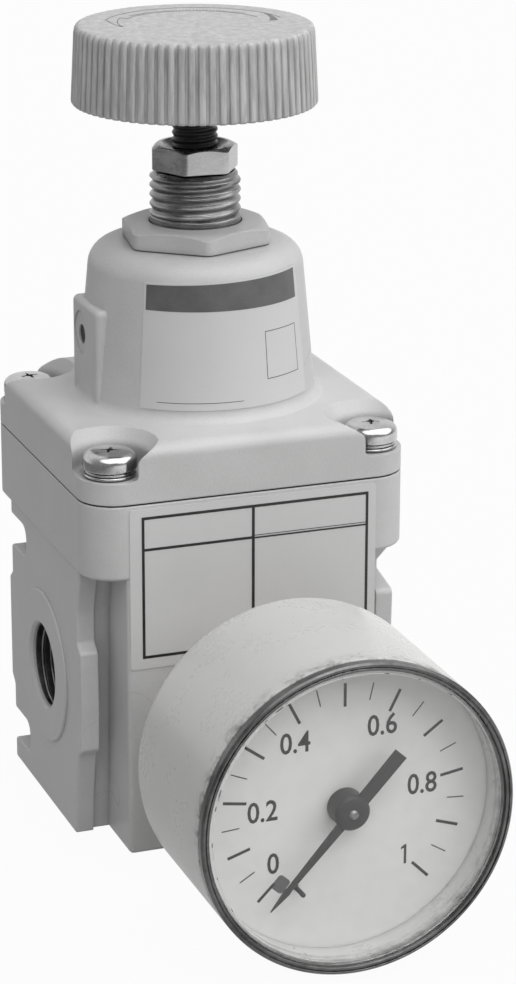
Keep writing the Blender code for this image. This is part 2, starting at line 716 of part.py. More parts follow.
def bonnet():
    outline = rounded_rectangle(BODY_W, BODY_D, BODY_CORNER_R)
    part = new_part("bonnet", prism_mesh("bonnet", outline, BONNET_Z0, FLANGE_Z1), "casting_paint")
    edge = bevel(part, FLANGE_EDGE_R, 3, 60.0)
    edge.limit_method = "WEIGHT"
    mark_top_edges(part.data, FLANGE_Z1)
    shoulder = arc(CONE_R1 - SHOULDER_R, BONNET_Z1 - SHOULDER_R, SHOULDER_R, ROUND / 4.0, -ROUND / 4.0, 5)
    cone = new_cutter(
        "bonnet_cone",
        turned_mesh(
            "bonnet_cone",
            [(0.0, BONNET_Z1)]
            + shoulder
            + [
                (CONE_R0, FLANGE_Z1 + CONE_FOOT_H),
                (CONE_FOOT_R, FLANGE_Z1 - CONE_FOOT_SINK),
                (CONE_FOOT_R, FLANGE_Z1 - 2.0 * PAST),
                (0.0, FLANGE_Z1 - 2.0 * PAST),
            ],
            FINE_SIDES,
        ),
    )
    boolean(part, cone, "UNION")
    pad = new_cutter(
        "vent_pad",
        box_mesh(
            "vent_pad",
            (-PAD_X, -PAD_HALF_W, FLANGE_Z1 - PAST),
            (-SPRING_CHAMBER_R, PAD_HALF_W, BONNET_Z0 + PAD_TOP_H),
        ),
    )
    boolean(part, pad, "UNION")
    for number, (x, y) in enumerate(corner_places(), 1):
        floor = BONNET_Z0 + POCKET_FLOOR_H
        profile = solid_profile(POCKET_R, floor, FLANGE_Z1 + 3.0 * PAST)
        turned_cut(part, f"pocket_{number}", profile, Matrix.Translation((x, y, 0.0)), 20)
        low = (x, y, BONNET_Z0 - PAST)
        drill(part, f"screw_hole_{number}", low, (x, y, floor + PAST), SCREW_HOLE_R, 16)
    turned_cut(
        part,
        "spring_chamber",
        [
            (0.0, ROOF_Z),
            (SPRING_CHAMBER_R, ROOF_Z),
            (SPRING_CHAMBER_R, BONNET_Z0 + BONNET_SKIRT_H + BONNET_SKIRT_SLOPE_H),
            (BONNET_SKIRT_R, BONNET_Z0 + BONNET_SKIRT_H),
            (BONNET_SKIRT_R, BONNET_Z0 - PAST),
            (0.0, BONNET_Z0 - PAST),
        ],
    )
    drill(part, "neck_hole", (0.0, 0.0, ROOF_Z - PAST), (0.0, 0.0, BONNET_Z1 + PAST), NECK_R + GAP, SIDES)
    vent_z = BONNET_Z0 + VENT_H
    recess_in = (-PAD_X + VENT_RECESS_DEPTH, VENT_Y, vent_z)
    drill(part, "vent_recess", (-PAD_X - 2.0 * PAST, VENT_Y, vent_z), recess_in, VENT_RECESS_R, 24)
    drill(part, "vent_hole", (-PAD_X - PAST, VENT_Y, vent_z), (-VENT_END_X, VENT_Y, vent_z), VENT_R, 16)
    return part


def mark_top_edges(mesh, height):
    """Gives the edges that lie at this height a bevel weight of one."""
    weights = mesh.attributes.new("bevel_weight_edge", "FLOAT", "EDGE")
    for edge in mesh.edges:
        at_top = all(abs(mesh.vertices[v].co.z - height) < 0.00001 for v in edge.vertices)
        weights.data[edge.index].value = 1.0 if at_top else 0.0


def bonnet_screws():
    floor = BONNET_Z0 + POCKET_FLOOR_H
    head_z0 = floor + WASHER_T + 2.0 * SHEET_GAP
    head_z1 = head_z0 + SCREW_HEAD_H
    dome = SCREW_HEAD_H * SCREW_DOME_SHARE
    profile = [
        (0.0, head_z1),
        (SCREW_HEAD_R * SCREW_DOME_R_SHARE, head_z1 - dome * SCREW_DOME_DROP_SHARE),
        (SCREW_HEAD_R, head_z1 - dome),
        (SCREW_HEAD_R, head_z0),
        (SCREW_R, head_z0),
        (SCREW_R, BODY_Z1 - SCREW_DEPTH + SCREW_TIP),
        (SCREW_R - SCREW_TIP, BODY_Z1 - SCREW_DEPTH),
        (0.0, BODY_Z1 - SCREW_DEPTH),
    ]
    screw_mesh = turned_mesh("bonnet_screw", profile, 16)
    ring = ring_profile(SCREW_R + RUNNING, WASHER_R, floor + SHEET_GAP, floor + SHEET_GAP + WASHER_T)
    washer_mesh = turned_mesh("spring_washer", ring, 12)
    for number, (x, y) in enumerate(corner_places(), 1):
        place = Matrix.Translation((x, y, 0.0))
        screw = new_part(f"bonnet_screw_{number}", screw_mesh.copy(), "chrome")
        screw.matrix_world = place
        washer = new_part(f"spring_washer_{number}", washer_mesh.copy(), "chrome")
        washer.matrix_world = place
        split = new_cutter(
            f"washer_split_{number}",
            box_mesh(
                f"washer_split_{number}",
                (0.0, -WASHER_SPLIT / 2.0, floor - PAST),
                (WASHER_R + PAST, WASHER_SPLIT / 2.0, floor + 3.0 * PAST),
            ),
        )
        split.matrix_world = place @ Matrix.Rotation(WASHER_TURN * number, 4, "Z")
        boolean(washer, split)


def hex_nut(name, across_flats, low, high, hole_r, turn, finish, sides=SIDES):
    nut = new_part(name, prism_mesh(name, hexagon(across_flats, turn), low, high), finish)
    corner = across_flats / 2.0 / math.cos(ROUND / 12.0)
    flat = across_flats / 2.0
    drop = (corner - flat) * NUT_CHAMFER_SHARE
    outside = corner + NUT_CHAMFER_PAST
    profile = [(0.0, high), (flat * NUT_FACE_SHARE, high), (outside, high - drop), (outside, low), (0.0, low)]
    envelope = new_cutter(name + "_chamfer", turned_mesh(name + "_chamfer", profile, sides))
    boolean(nut, envelope, "INTERSECT")
    drill(nut, name + "_bore", (0.0, 0.0, low - PAST), (0.0, 0.0, high + PAST), hole_r, sides)
    return nut


def neck_bushing():
    bore = ADJUST_R + THREAD_FIT
    profile = [
        (NECK_R - NECK_CHAMFER, NECK_Z1),
        (NECK_R, NECK_Z1 - NECK_CHAMFER),
        (NECK_R, NECK_FLANGE_Z1),
        (NECK_FLANGE_R, NECK_FLANGE_Z1),
        (NECK_FLANGE_R, NECK_FLANGE_Z0),
        (bore, NECK_FLANGE_Z0),
        (bore, NECK_Z1),
    ]
    return new_part("neck_bushing", turned_mesh("neck_bushing", profile), "steel")


def adjusting_screw():
    top = KNOB_Z1 - KNOB_ROOF_T - GAP
    profile = [
        (0.0, top),
        (ADJUST_R - ADJUST_TOP_EDGE, top),
        (ADJUST_R, top - ADJUST_TOP_EDGE),
        (ADJUST_R, ADJUST_Z0 + ADJUST_TIP),
        (ADJUST_R - ADJUST_TIP, ADJUST_Z0),
        (0.0, ADJUST_Z0),
    ]
    return new_part("adjusting_screw", turned_mesh("adjusting_screw", profile), "black_steel")


def knob():
    """A ribbed skirt with an edge round, a roof, a hub for the screw and webs between hub and skirt."""

    def ribbed_ring(shape, radius, height, depth):
        points = []
        for rib in range(KNOB_RIBS):
            for part_of_rib, reach in ((0.0, radius - depth), (0.5, radius)):
                angle = ROUND * (rib + part_of_rib) / KNOB_RIBS
                points.append(shape.verts.new((reach * math.cos(angle), reach * math.sin(angle), height)))
        return points

    def build(shape):
        rounded = KNOB_R1 - KNOB_EDGE_R
        rings = [
            ribbed_ring(shape, KNOB_R0, KNOB_Z0, KNOB_RIB_DEPTH),
            ribbed_ring(shape, KNOB_R1, KNOB_Z1 - KNOB_EDGE_R, KNOB_RIB_DEPTH),
            ribbed_ring(shape, rounded, KNOB_Z1, 0.0),
        ]
        shape.faces.new(list(reversed(rings[0])))
        shape.faces.new(rings[-1])
        for lower, upper in zip(rings, rings[1:]):
            count = len(lower)
            for k in range(count):
                after = (k + 1) % count
                shape.faces.new((lower[k], lower[after], upper[after], upper[k]))

    part = new_part("knob", mesh_from("knob", build), "knob_plastic")
    roof = KNOB_Z1 - KNOB_ROOF_T
    inner = KNOB_R1 - KNOB_RIB_DEPTH - KNOB_WALL
    hollow = new_cutter(
        "knob_hollow",
        turned_mesh("knob_hollow", ring_profile(KNOB_HUB_R, inner, KNOB_Z0 - PAST, roof), FINE_SIDES),
    )
    for web in range(KNOB_WEBS):
        name = f"knob_web_{web + 1}"
        low = (KNOB_HUB_R - PAST, -KNOB_WEB_T / 2.0, KNOB_Z0 + 3.0 * PAST)
        keep = new_cutter(name, box_mesh(name, low, (inner + PAST, KNOB_WEB_T / 2.0, roof + PAST)))
        keep.matrix_world = Matrix.Rotation(ROUND * web / KNOB_WEBS, 4, "Z")
        boolean(hollow, keep)
    boolean(part, hollow)
    drill(part, "knob_bore", (0.0, 0.0, KNOB_Z0 - PAST), (0.0, 0.0, roof), ADJUST_R + RUNNING, SIDES)
    return part


def coil(name, centre_r, wire_r, turns, low, high, finish, points_per_turn=10):
    """A compression spring, its first and last turns closed up flat."""
    curve = bpy.data.curves.new(name, "CURVE")
    curve.dimensions = "3D"
    curve.bevel_depth = wire_r
    curve.bevel_resolution = 1
    curve.use_fill_caps = True
    line = curve.splines.new("POLY")
    count = round(turns * points_per_turn)
    line.points.add(count)
    closed = COIL_CLOSED_TURNS
    closed_rise = COIL_CLOSED_RISE * wire_r
    pitch_rise = (high - low - 2.0 * wire_r - 2.0 * closed_rise * closed) / (turns - 2.0 * closed)
    for index, point in enumerate(line.points):
        turned = index / points_per_turn
        ends = min(turned, closed) + max(turned - (turns - closed), 0.0)
        middle = min(max(turned - closed, 0.0), turns - 2.0 * closed)
        height = low + wire_r + closed_rise * ends + pitch_rise * middle
        angle = ROUND * turned
        point.co = (centre_r * math.cos(angle), centre_r * math.sin(angle), height, 1.0)
    return new_part(name, curve, finish)


def lower_works():
    o_ring_z = CAP_FLANGE_H + O_RING_Z
    groove_r = O_RING_R - O_RING_WIRE_R - SHEET_GAP
    guide_r = VALVE_STEM_R + RUNNING
    guide_z = CAP_Z1 - CAP_GUIDE_DEPTH
    cap = new_part(
        "bottom_cap",
        turned_mesh(
            "bottom_cap",
            [
                (0.0, guide_z),
                (guide_r, guide_z),
                (guide_r, CAP_Z1),
                (CAP_SPIGOT_R, CAP_Z1),
                (CAP_SPIGOT_R, o_ring_z + O_RING_GROOVE_H / 2.0),
                (groove_r, o_ring_z + O_RING_GROOVE_H / 2.0),
                (groove_r, o_ring_z - O_RING_GROOVE_H / 2.0),
                (CAP_SPIGOT_R, o_ring_z - O_RING_GROOVE_H / 2.0),
                (CAP_SPIGOT_R, CAP_FLANGE_H),
                (CAP_FLANGE_R, CAP_FLANGE_H),
                (CAP_FLANGE_R, CAP_EDGE),
                (CAP_FLANGE_R - CAP_EDGE, 0.0),
                (0.0, 0.0),
            ],
            SIDES,
        ),
        "aluminium",
    )
    for side in (-1.0, 1.0):
        x = side * CAP_PIN_HOLE_AT
        drill(cap, f"pin_hole_{int(side)}", (x, 0.0, -PAST), (x, 0.0, CAP_PIN_HOLE_DEPTH), CAP_PIN_HOLE_R, 16)

    def o_ring_build(shape):
        steps = 6
        section = [
            shape.verts.new((O_RING_R + x, 0.0, o_ring_z + z))
            for x, z in arc(0.0, 0.0, O_RING_WIRE_R, 0.0, ROUND * (steps - 1) / steps, steps - 1)
        ]
        edges = [shape.edges.new((section[k], section[(k + 1) % steps])) for k in range(steps)]
        bmesh.ops.spin(
            shape,
            geom=section + edges,
            axis=(0.0, 0.0, 1.0),
            cent=(0.0, 0.0, 0.0),
            steps=SIDES,
            angle=ROUND,
            use_merge=True,
        )
        bmesh.ops.remove_doubles(shape, verts=shape.verts, dist=0.000001)

    new_part("cap_o_ring", mesh_from("cap_o_ring", o_ring_build), "rubber")
    valve = [
        (0.0, VALVE_TIP_Z1),
        (VALVE_TIP_R, VALVE_TIP_Z1),
        (VALVE_TIP_R, VALVE_DISC_Z1),
        (VALVE_DISC_R, VALVE_DISC_Z1),
        (VALVE_DISC_R, VALVE_DISC_Z0),
        (VALVE_STEM_R, VALVE_DISC_Z0),
        (VALVE_STEM_R, VALVE_STEM_Z0),
        (0.0, VALVE_STEM_Z0),
    ]
    new_part("main_valve", turned_mesh("main_valve", valve, 20), "brass")
    coil(
        "valve_spring",
        VALVE_SPRING_R,
        VALVE_SPRING_WIRE_R,
        VALVE_SPRING_TURNS,
        CAP_Z1 + SHEET_GAP,
        VALVE_DISC_Z0 - SHEET_GAP,
        "steel",
    )


def main_diaphragm_works():
    sheet = ring_profile(STEM_R + GAP, BLOCK_R, MAIN_SHEET_Z0, MAIN_SHEET_Z1)
    new_part("main_diaphragm", turned_mesh("main_diaphragm", sheet), "rubber")
    nut_z0 = UPPER_PLATE_Z1 + SHEET_GAP
    nut_z1 = nut_z0 + STEM_NUT_H
    stem = [
        (STUD_R, nut_z1),
        (STUD_R, LOWER_PLATE_Z1),
        (PLATE_R, LOWER_PLATE_Z1),
        (PLATE_R, LOWER_PLATE_Z0),
        (STEM_R, LOWER_PLATE_Z0),
        (STEM_R, STEM_Z0),
        (RELIEF_R, STEM_Z0),
        (RELIEF_R, nut_z1),
    ]
    new_part("diaphragm_stem", turned_mesh("diaphragm_stem", stem, 16), "brass")
    plate = ring_profile(STUD_R + RUNNING, PLATE_R, UPPER_PLATE_Z0, UPPER_PLATE_Z1)
    new_part("diaphragm_plate", turned_mesh("diaphragm_plate", plate), "aluminium")
    hex_nut("stem_nut", STEM_NUT_AF, nut_z0, nut_z1, STUD_R + RUNNING, 0.0, "steel", 16)


def control_works():
    block = [
        (BLOCK_R, BLOCK_Z1),
        (BLOCK_R, BLOCK_Z0),
        (BLOCK_RECESS_R, BLOCK_Z0),
        (BLOCK_RECESS_R, BLOCK_WEB_Z0),
        (NOZZLE_R + RUNNING, BLOCK_WEB_Z0),
        (NOZZLE_R + RUNNING, BLOCK_WEB_Z1),
        (BLOCK_TOP_RECESS_R, BLOCK_WEB_Z1),
        (BLOCK_TOP_RECESS_R, BLOCK_Z1),
    ]
    new_part("nozzle_block", turned_mesh("nozzle_block", block), "aluminium")
    head_z0 = BLOCK_WEB_Z1 + SHEET_GAP
    nozzle = [
        (NOZZLE_HEAD_R, head_z0 + NOZZLE_HEAD_H),
        (NOZZLE_HEAD_R, head_z0),
        (NOZZLE_R, head_z0),
        (NOZZLE_R, head_z0 - NOZZLE_SHANK_H),
        (NOZZLE_BORE_R, head_z0 - NOZZLE_SHANK_H),
        (NOZZLE_BORE_R, head_z0 + NOZZLE_HEAD_H),
    ]
    new_part("nozzle", turned_mesh("nozzle", nozzle, 16), "brass")
    outline = rounded_rectangle(BODY_W - 2.0 * GAP, BODY_D - 2.0 * GAP, BODY_CORNER_R - GAP, 4)
    mesh = prism_mesh("control_diaphragm", outline, CONTROL_SHEET_Z0, CONTROL_SHEET_Z1)
    sheet = new_part("control_diaphragm", mesh, "rubber")
    for number, (x, y) in enumerate([(0.0, 0.0)] + corner_places()):
        radius = SCREW_HOLE_R if number else SEAT_STUD_R + GAP
        low = (x, y, CONTROL_SHEET_Z0 - PAST)
        drill(sheet, f"sheet_hole_{number}", low, (x, y, CONTROL_SHEET_Z1 + PAST), radius, 12)
    disc = ring_profile(SEAT_STUD_R + RUNNING, FLAPPER_R, FLAPPER_Z0, FLAPPER_Z1)
    new_part("flapper", turned_mesh("flapper", disc, 24), "steel")
    seat = [
        (0.0, LOWER_SEAT_Z1 + SEAT_PILOT_H),
        (SEAT_PILOT_R, LOWER_SEAT_Z1 + SEAT_PILOT_H),
        (SEAT_PILOT_R, LOWER_SEAT_Z1),
        (LOWER_SEAT_R, LOWER_SEAT_Z1),
        (LOWER_SEAT_R, LOWER_SEAT_Z0),
        (SEAT_STUD_R, LOWER_SEAT_Z0),
        (SEAT_STUD_R, FLAPPER_Z0),
        (0.0, FLAPPER_Z0),
    ]
    new_part("lower_spring_seat", turned_mesh("lower_spring_seat", seat), "aluminium")
    coil(
        "set_spring",
        SPRING_R,
        SPRING_WIRE_R,
        SPRING_TURNS,
        LOWER_SEAT_Z1 + SHEET_GAP,
        UPPER_SEAT_Z0 - SHEET_GAP,
        "steel",
    )
    socket_r = BALL_R + GAP
    upper = [
        (0.0, SOCKET_FLOOR_Z),
        (socket_r, SOCKET_FLOOR_Z),
        (socket_r, UPPER_BOSS_Z1),
        (UPPER_BOSS_R, UPPER_BOSS_Z1),
        (UPPER_BOSS_R, UPPER_SEAT_Z1),
        (UPPER_SEAT_R, UPPER_SEAT_Z1),
        (UPPER_SEAT_R, UPPER_SEAT_Z0),
        (SEAT_PILOT_R, UPPER_SEAT_Z0),
        (SEAT_PILOT_R, UPPER_SEAT_Z0 - SEAT_PILOT_H),
        (0.0, UPPER_SEAT_Z0 - SEAT_PILOT_H),
    ]
    new_part("upper_spring_seat", turned_mesh("upper_spring_seat", upper), "aluminium")

    def ball_build(shape):
        bmesh.ops.create_uvsphere(shape, u_segments=12, v_segments=8, radius=BALL_R)
        bmesh.ops.translate(shape, verts=shape.verts, vec=(0.0, 0.0, BALL_Z))

    ball = mesh_from("thrust_ball", ball_build)
    ball.shade_smooth()
    new_part("thrust_ball", ball, "chrome")


def placed_on_gauge(part, y=0.0):
    part.matrix_world = on_gauge_axis(y)
    return part


def gauge_shell():
    depth = GAUGE_CASE_D
    back_round = arc(GAUGE_R - GAUGE_BACK_R, GAUGE_BACK_R, GAUGE_BACK_R, 0.0, -ROUND / 4.0, 3)
    stem_hole = SOCKET_BLOCK * 0.5 * math.sqrt(2.0) + GAP
    seat_r = CASE_INNER_R - GAUGE_WALL
    dial_seat = depth - DIAL_DEPTH - DIAL_T - SHEET_GAP
    case = (
        [(GAUGE_R, depth)]
        + back_round
        + [
            (stem_hole, 0.0),
            (stem_hole, GAUGE_BACK_T),
            (seat_r, GAUGE_BACK_T),
            (seat_r, dial_seat),
            (CASE_INNER_R, dial_seat),
            (CASE_INNER_R, depth),
        ]
    )
    shell = new_part("gauge_case", turned_mesh("gauge_case", case, FINE_SIDES), "gauge_paint")
    placed_on_gauge(shell, CASE_BACK_Y)
    lens_r = CASE_INNER_R - SHEET_GAP
    front = depth - LENS_INSET
    skirt_end = depth - DIAL_DEPTH + SHEET_GAP
    lens = [
        (0.0, front),
        (lens_r - LENS_EDGE, front),
        (lens_r, front - LENS_EDGE),
        (lens_r, skirt_end),
        (lens_r - LENS_SKIRT_T, skirt_end),
        (lens_r - LENS_SKIRT_T, front - LENS_T),
        (0.0, front - LENS_T),
    ]
    placed_on_gauge(new_part("gauge_lens", turned_mesh("gauge_lens", lens, FINE_SIDES), "clear"), CASE_BACK_Y)
    dial_r = CASE_INNER_R - GAP
    dial_mesh = turned_mesh("gauge_dial", ring_profile(DIAL_HOLE_R, dial_r, 0.0, DIAL_T), FINE_SIDES)
    dial = placed_on_gauge(new_part("gauge_dial", dial_mesh, "dial_paint"), DIAL_BACK_Y)
    pin_x = STOP_PIN_AT * math.sin(STOP_PIN_ANGLE)
    pin_y = STOP_PIN_AT * math.cos(STOP_PIN_ANGLE)
    turned_cut(
        dial,
        "stop_pin_hole",
        solid_profile(STOP_PIN_R + RUNNING, -PAST, DIAL_T + PAST),
        on_gauge_axis(DIAL_BACK_Y) @ Matrix.Translation((pin_x, pin_y, 0.0)),
        12,
    )
    pin_mesh = turned_mesh("stop_pin", solid_profile(STOP_PIN_R, -2.0 * GAP, DIAL_T + STOP_PIN_RISE), 12)
    pin = new_part("stop_pin", pin_mesh, "black_steel")
    pin.matrix_world = on_gauge_axis(DIAL_BACK_Y) @ Matrix.Translation((pin_x, pin_y, 0.0))


def gauge_socket():
    """The stem: thread in the body, square for the spanner, and the block that carries the works."""
    half = STEM_SQUARE / 2.0
    square_y0 = CASE_BACK_Y + GAP
    square_y1 = FRONT_Y - GAP * 3.0
    mesh = box_mesh("gauge_socket", (-half, square_y0, -half), (half, square_y1, half))
    socket = new_part("gauge_socket", mesh, "brass")
    socket.matrix_world = Matrix.Translation(GAUGE_AXIS)
    bevel(socket, STEM_SQUARE_EDGE, 1, 60.0)
    inner = SOCKET_BLOCK / 2.0
    block_y = BACK_PLATE_Y1 + GAP
    block_mesh = box_mesh("socket_block", (-inner, block_y, -inner), (inner, square_y0 + PAST, inner))
    block = new_cutter("socket_block", block_mesh)
    block.matrix_world = Matrix.Translation(GAUGE_AXIS)
    boolean(socket, block, "UNION")
    thread_end = FRONT_Y + STEM_THREAD_L
    thread = new_cutter(
        "socket_thread",
        turned_mesh("socket_thread", solid_profile(STEM_THREAD_R, 0.0, thread_end - square_y1 + PAST), 24),
    )
    thread.matrix_world = facing((0.0, 1.0, 0.0), (0.0, square_y1 - PAST, GAUGE_AXIS_Z))
    boolean(socket, thread, "UNION")
    bore_end = (0.0, block_y + 3.0 * PAST, GAUGE_AXIS_Z)
    drill(socket, "socket_bore", (0.0, thread_end + PAST, GAUGE_AXIS_Z), bore_end, SOCKET_BORE_R, 16)
    return block_y


def bourdon(block_y):
    """The curved pressure tube: from the socket block round to its closed tip."""
    curve = bpy.data.curves.new("bourdon_tube", "CURVE")
    curve.dimensions = "3D"
    curve.bevel_depth = BOURDON_TUBE_R
    curve.bevel_resolution = 2
    curve.use_fill_caps = True
    line = curve.splines.new("POLY")
    tube_y = (CASE_BACK_Y - GAUGE_BACK_T + block_y) / 2.0
    half = SOCKET_BLOCK / 2.0
    first = BOURDON_START
    foot = Vector((-half * BOURDON_FOOT_SHARE, tube_y, -half - GAP))
    bend = Vector((foot.x, tube_y, -BOURDON_R))
    start = Vector((BOURDON_R * math.sin(first), tube_y, BOURDON_R * math.cos(first)))
    shares = [step / BOURDON_LEAD_STEPS for step in range(BOURDON_LEAD_STEPS)]
    points = [foot.lerp(bend, share).lerp(bend.lerp(start, share), share) for share in shares]
    for step in range(BOURDON_STEPS + 1):
        angle = first + BOURDON_SWEEP * step / BOURDON_STEPS
        points.append(Vector((BOURDON_R * math.sin(angle), tube_y, BOURDON_R * math.cos(angle))))
    line.points.add(len(points) - 1)
    for point, place in zip(line.points, points):
        point.co = (*place, 1.0)
    tube = new_part("bourdon_tube", curve, "brass")
    tube.matrix_world = Matrix.Translation(GAUGE_AXIS)
    return tube


def gear_points(teeth, first, last, turn):
    """Points round a gear from one tooth to the next, with straight-sided teeth of the common module."""
    pitch_r = GEAR_MODULE * teeth / 2.0
    tip = pitch_r + GEAR_MODULE * TOOTH_TIP
    root = pitch_r - GEAR_MODULE * TOOTH_ROOT
    foot = TOOTH_FOOT_SHARE
    crest = TOOTH_CREST_SHARE
    points = []
    for tooth in range(first, last):
        for share, radius in ((-foot, root), (-crest, tip), (crest, tip), (foot, root)):
            angle = turn + ROUND * (tooth + share) / teeth
            points.append((radius * math.sin(angle), radius * math.cos(angle)))
    return points


def movement():
    """Two plates, the pinion on the pointer's arbor and the toothed sector that turns it."""
    half = MOVEMENT_W / 2.0
    low = -GEAR_CENTRES - SECTOR_HUB_R * MOVEMENT_FOOT_SHARE
    plate_outline_points = [
        (-half, low),
        (half, low),
        (half, half * MOVEMENT_CUT_H_SHARE),
        (half * MOVEMENT_CUT_W_SHARE, half * MOVEMENT_HEAD_SHARE),
        (-half * MOVEMENT_CUT_W_SHARE, half * MOVEMENT_HEAD_SHARE),
        (-half, half * MOVEMENT_CUT_H_SHARE),
    ]
    for name, y in (("movement_front_plate", FRONT_PLATE_Y1), ("movement_back_plate", BACK_PLATE_Y1)):
        plate = new_part(name, prism_mesh(name, plate_outline_points, 0.0, MOVEMENT_PLATE_T), "brass")
        placed_on_gauge(plate, y)
        for hole, (x, z, radius) in {
            "arbor": (0.0, 0.0, ARBOR_R + RUNNING),
            "sector": (0.0, -GEAR_CENTRES, ARBOR_R + RUNNING),
        }.items():
            place = on_gauge_axis(y) @ Matrix.Translation((x, z, 0.0))
            profile = solid_profile(radius, -PAST, MOVEMENT_PLATE_T + PAST)
            turned_cut(plate, f"{name}_{hole}", profile, place, 16)
    pillar_mesh = turned_mesh("pillar", solid_profile(ARBOR_R, GAP, MOVEMENT_GAP - GAP), 12)
    for side, name in ((-1.0, "movement_pillar_left"), (1.0, "movement_pillar_right")):
        pillar = new_part(name, pillar_mesh.copy(), "brass")
        place = Matrix.Translation((side * (half - PILLAR_INSET), low + PILLAR_FOOT_INSET, 0.0))
        pillar.matrix_world = on_gauge_axis(BACK_PLATE_Y0) @ place
    gear_y0 = (MOVEMENT_GAP - GEAR_T) / 2.0
    arbor_back = -MOVEMENT_PLATE_T
    arbor_front = FRONT_PLATE_Y0 - DIAL_FRONT_Y + ARBOR_NOSE + MOVEMENT_GAP + MOVEMENT_PLATE_T
    pinion_teeth = gear_points(PINION_TEETH, 0, PINION_TEETH, 0.0)
    pinion_mesh = prism_mesh("pinion_arbor", pinion_teeth, gear_y0, gear_y0 + GEAR_T)
    pinion = new_part("pinion_arbor", pinion_mesh, "brass")
    placed_on_gauge(pinion, BACK_PLATE_Y0)
    shaft = new_cutter(
        "pinion_shaft",
        turned_mesh("pinion_shaft", solid_profile(ARBOR_R, arbor_back, arbor_front), 16),
    )
    shaft.matrix_world = on_gauge_axis(BACK_PLATE_Y0)
    boolean(pinion, shaft, "UNION")
    pitch_r = GEAR_MODULE * SECTOR_TEETH / 2.0
    rim = pitch_r - GEAR_MODULE * SECTOR_RIM
    span = round(SECTOR_HALF_SWEEP / ROUND * SECTOR_TEETH)
    pitch = ROUND / SECTOR_TEETH
    toothed = gear_points(SECTOR_TEETH, -span, span + 1, (pitch / 2.0 - SECTOR_REST) % pitch)
    arm = SECTOR_HUB_R * SECTOR_ARM_SHARE
    neck = rim * SECTOR_NECK_SHARE
    outline = toothed + [(arm, neck), (arm, 0.0), (-arm, 0.0), (-arm, neck)]
    sector_mesh = prism_mesh("sector_gear", outline, gear_y0, gear_y0 + GEAR_T)
    sector = new_part("sector_gear", sector_mesh, "brass")
    pivot = on_gauge_axis(BACK_PLATE_Y0) @ Matrix.Translation((0.0, -GEAR_CENTRES, 0.0))
    sector.matrix_world = pivot @ Matrix.Rotation(-SECTOR_REST, 4, "Z")
    hub_low = -MOVEMENT_PLATE_T
    hub_high = MOVEMENT_GAP + MOVEMENT_PLATE_T
    hub = new_cutter(
        "sector_hub",
        turned_mesh(
            "sector_hub",
            [
                (0.0, hub_high),
                (ARBOR_R, hub_high),
                (ARBOR_R, MOVEMENT_GAP - SECTOR_HUB_INSET),
                (SECTOR_HUB_R, MOVEMENT_GAP - SECTOR_HUB_INSET),
                (SECTOR_HUB_R, SECTOR_HUB_INSET),
                (ARBOR_R, SECTOR_HUB_INSET),
                (ARBOR_R, hub_low),
                (0.0, hub_low),
            ],
            16,
        ),
    )
    hub.matrix_world = pivot
    boolean(sector, hub, "UNION")


def pointer():
    """A tapered needle with a counterweight tail and a round hub, pointing at the scale's start."""
    half = POINTER_W / 2.0
    tail = half * POINTER_TAIL_W_SHARE
    taper = half * POINTER_TAPER_W_SHARE
    taper_at = POINTER_L * POINTER_TAPER_L_SHARE
    outline = [
        (-tail, -POINTER_TAIL),
        (tail, -POINTER_TAIL),
        (half, 0.0),
        (taper, taper_at),
        (0.0, POINTER_L),
        (-taper, taper_at),
        (-half, 0.0),
    ]
    mesh = prism_mesh("pointer", outline, 0.0, POINTER_T)
    needle = new_part("pointer", mesh, "black_paint")
    place = on_gauge_axis(DIAL_FRONT_Y - POINTER_LIFT)
    needle.matrix_world = place @ Matrix.Rotation(-POINTER_REST, 4, "Z")
    foot = GAP - POINTER_LIFT
    hub = new_cutter(
        "pointer_hub",
        turned_mesh(
            "pointer_hub",
            [
                (0.0, POINTER_HUB_RISE),
                (POINTER_HUB_R - POINTER_HUB_EDGE, POINTER_HUB_RISE),
                (POINTER_HUB_R, POINTER_HUB_RISE - POINTER_HUB_EDGE),
                (POINTER_HUB_R, foot),
                (0.0, foot),
            ],
            SIDES,
        ),
    )
    hub.matrix_world = place
    boolean(needle, hub, "UNION")
    bore_profile = solid_profile(ARBOR_R + RUNNING, foot - PAST, ARBOR_NOSE - POINTER_LIFT + SHEET_GAP)
    turned_cut(needle, "pointer_bore", bore_profile, place, 16)


def rear_plug():
    back = BODY_D / 2.0 - PLUG_INSET
    radius = GAUGE_PORT_R - RUNNING
    profile = solid_profile(radius, 0.0, PLUG_L, PLUG_EDGE)
    plug = new_part("rear_port_plug", turned_mesh("rear_port_plug", profile, 24), "steel")
    plug.matrix_world = facing((0.0, -1.0, 0.0), (0.0, back, GAUGE_AXIS_Z))
    mesh = prism_mesh("plug_socket", hexagon(PLUG_HEX_AF), -PAST, PLUG_HEX_DEPTH)
    socket = new_cutter("plug_socket", mesh)
    socket.matrix_world = facing((0.0, -1.0, 0.0), (0.0, back, GAUGE_AXIS_Z))
    boolean(plug, socket)


body_casting()
bonnet()
bonnet_screws()
neck_bushing()
hex_nut(
    "panel_nut",
    PANEL_NUT_AF,
    PANEL_NUT_Z0,
    PANEL_NUT_Z0 + PANEL_NUT_H,
    NECK_R + THREAD_FIT,
    PANEL_NUT_TURN,
    "casting_paint",
)
hex_nut(
    "lock_nut",
    LOCK_NUT_AF,
    LOCK_NUT_Z0,
    LOCK_NUT_Z1,
    ADJUST_R + THREAD_FIT,
    LOCK_NUT_TURN,
    "steel",
)
adjusting_screw()
knob()
lower_works()
main_diaphragm_works()
control_works()
gauge_shell()
bourdon(gauge_socket())
movement()
pointer()
rear_plug()
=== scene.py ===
"""Looks of the precision pressure regulator. Shapes are drawn in millimetres and stored in metres.

+Z is up, the gauge faces -Y, the inlet opens towards -X and the outlet towards +X.
"""

import json
import math

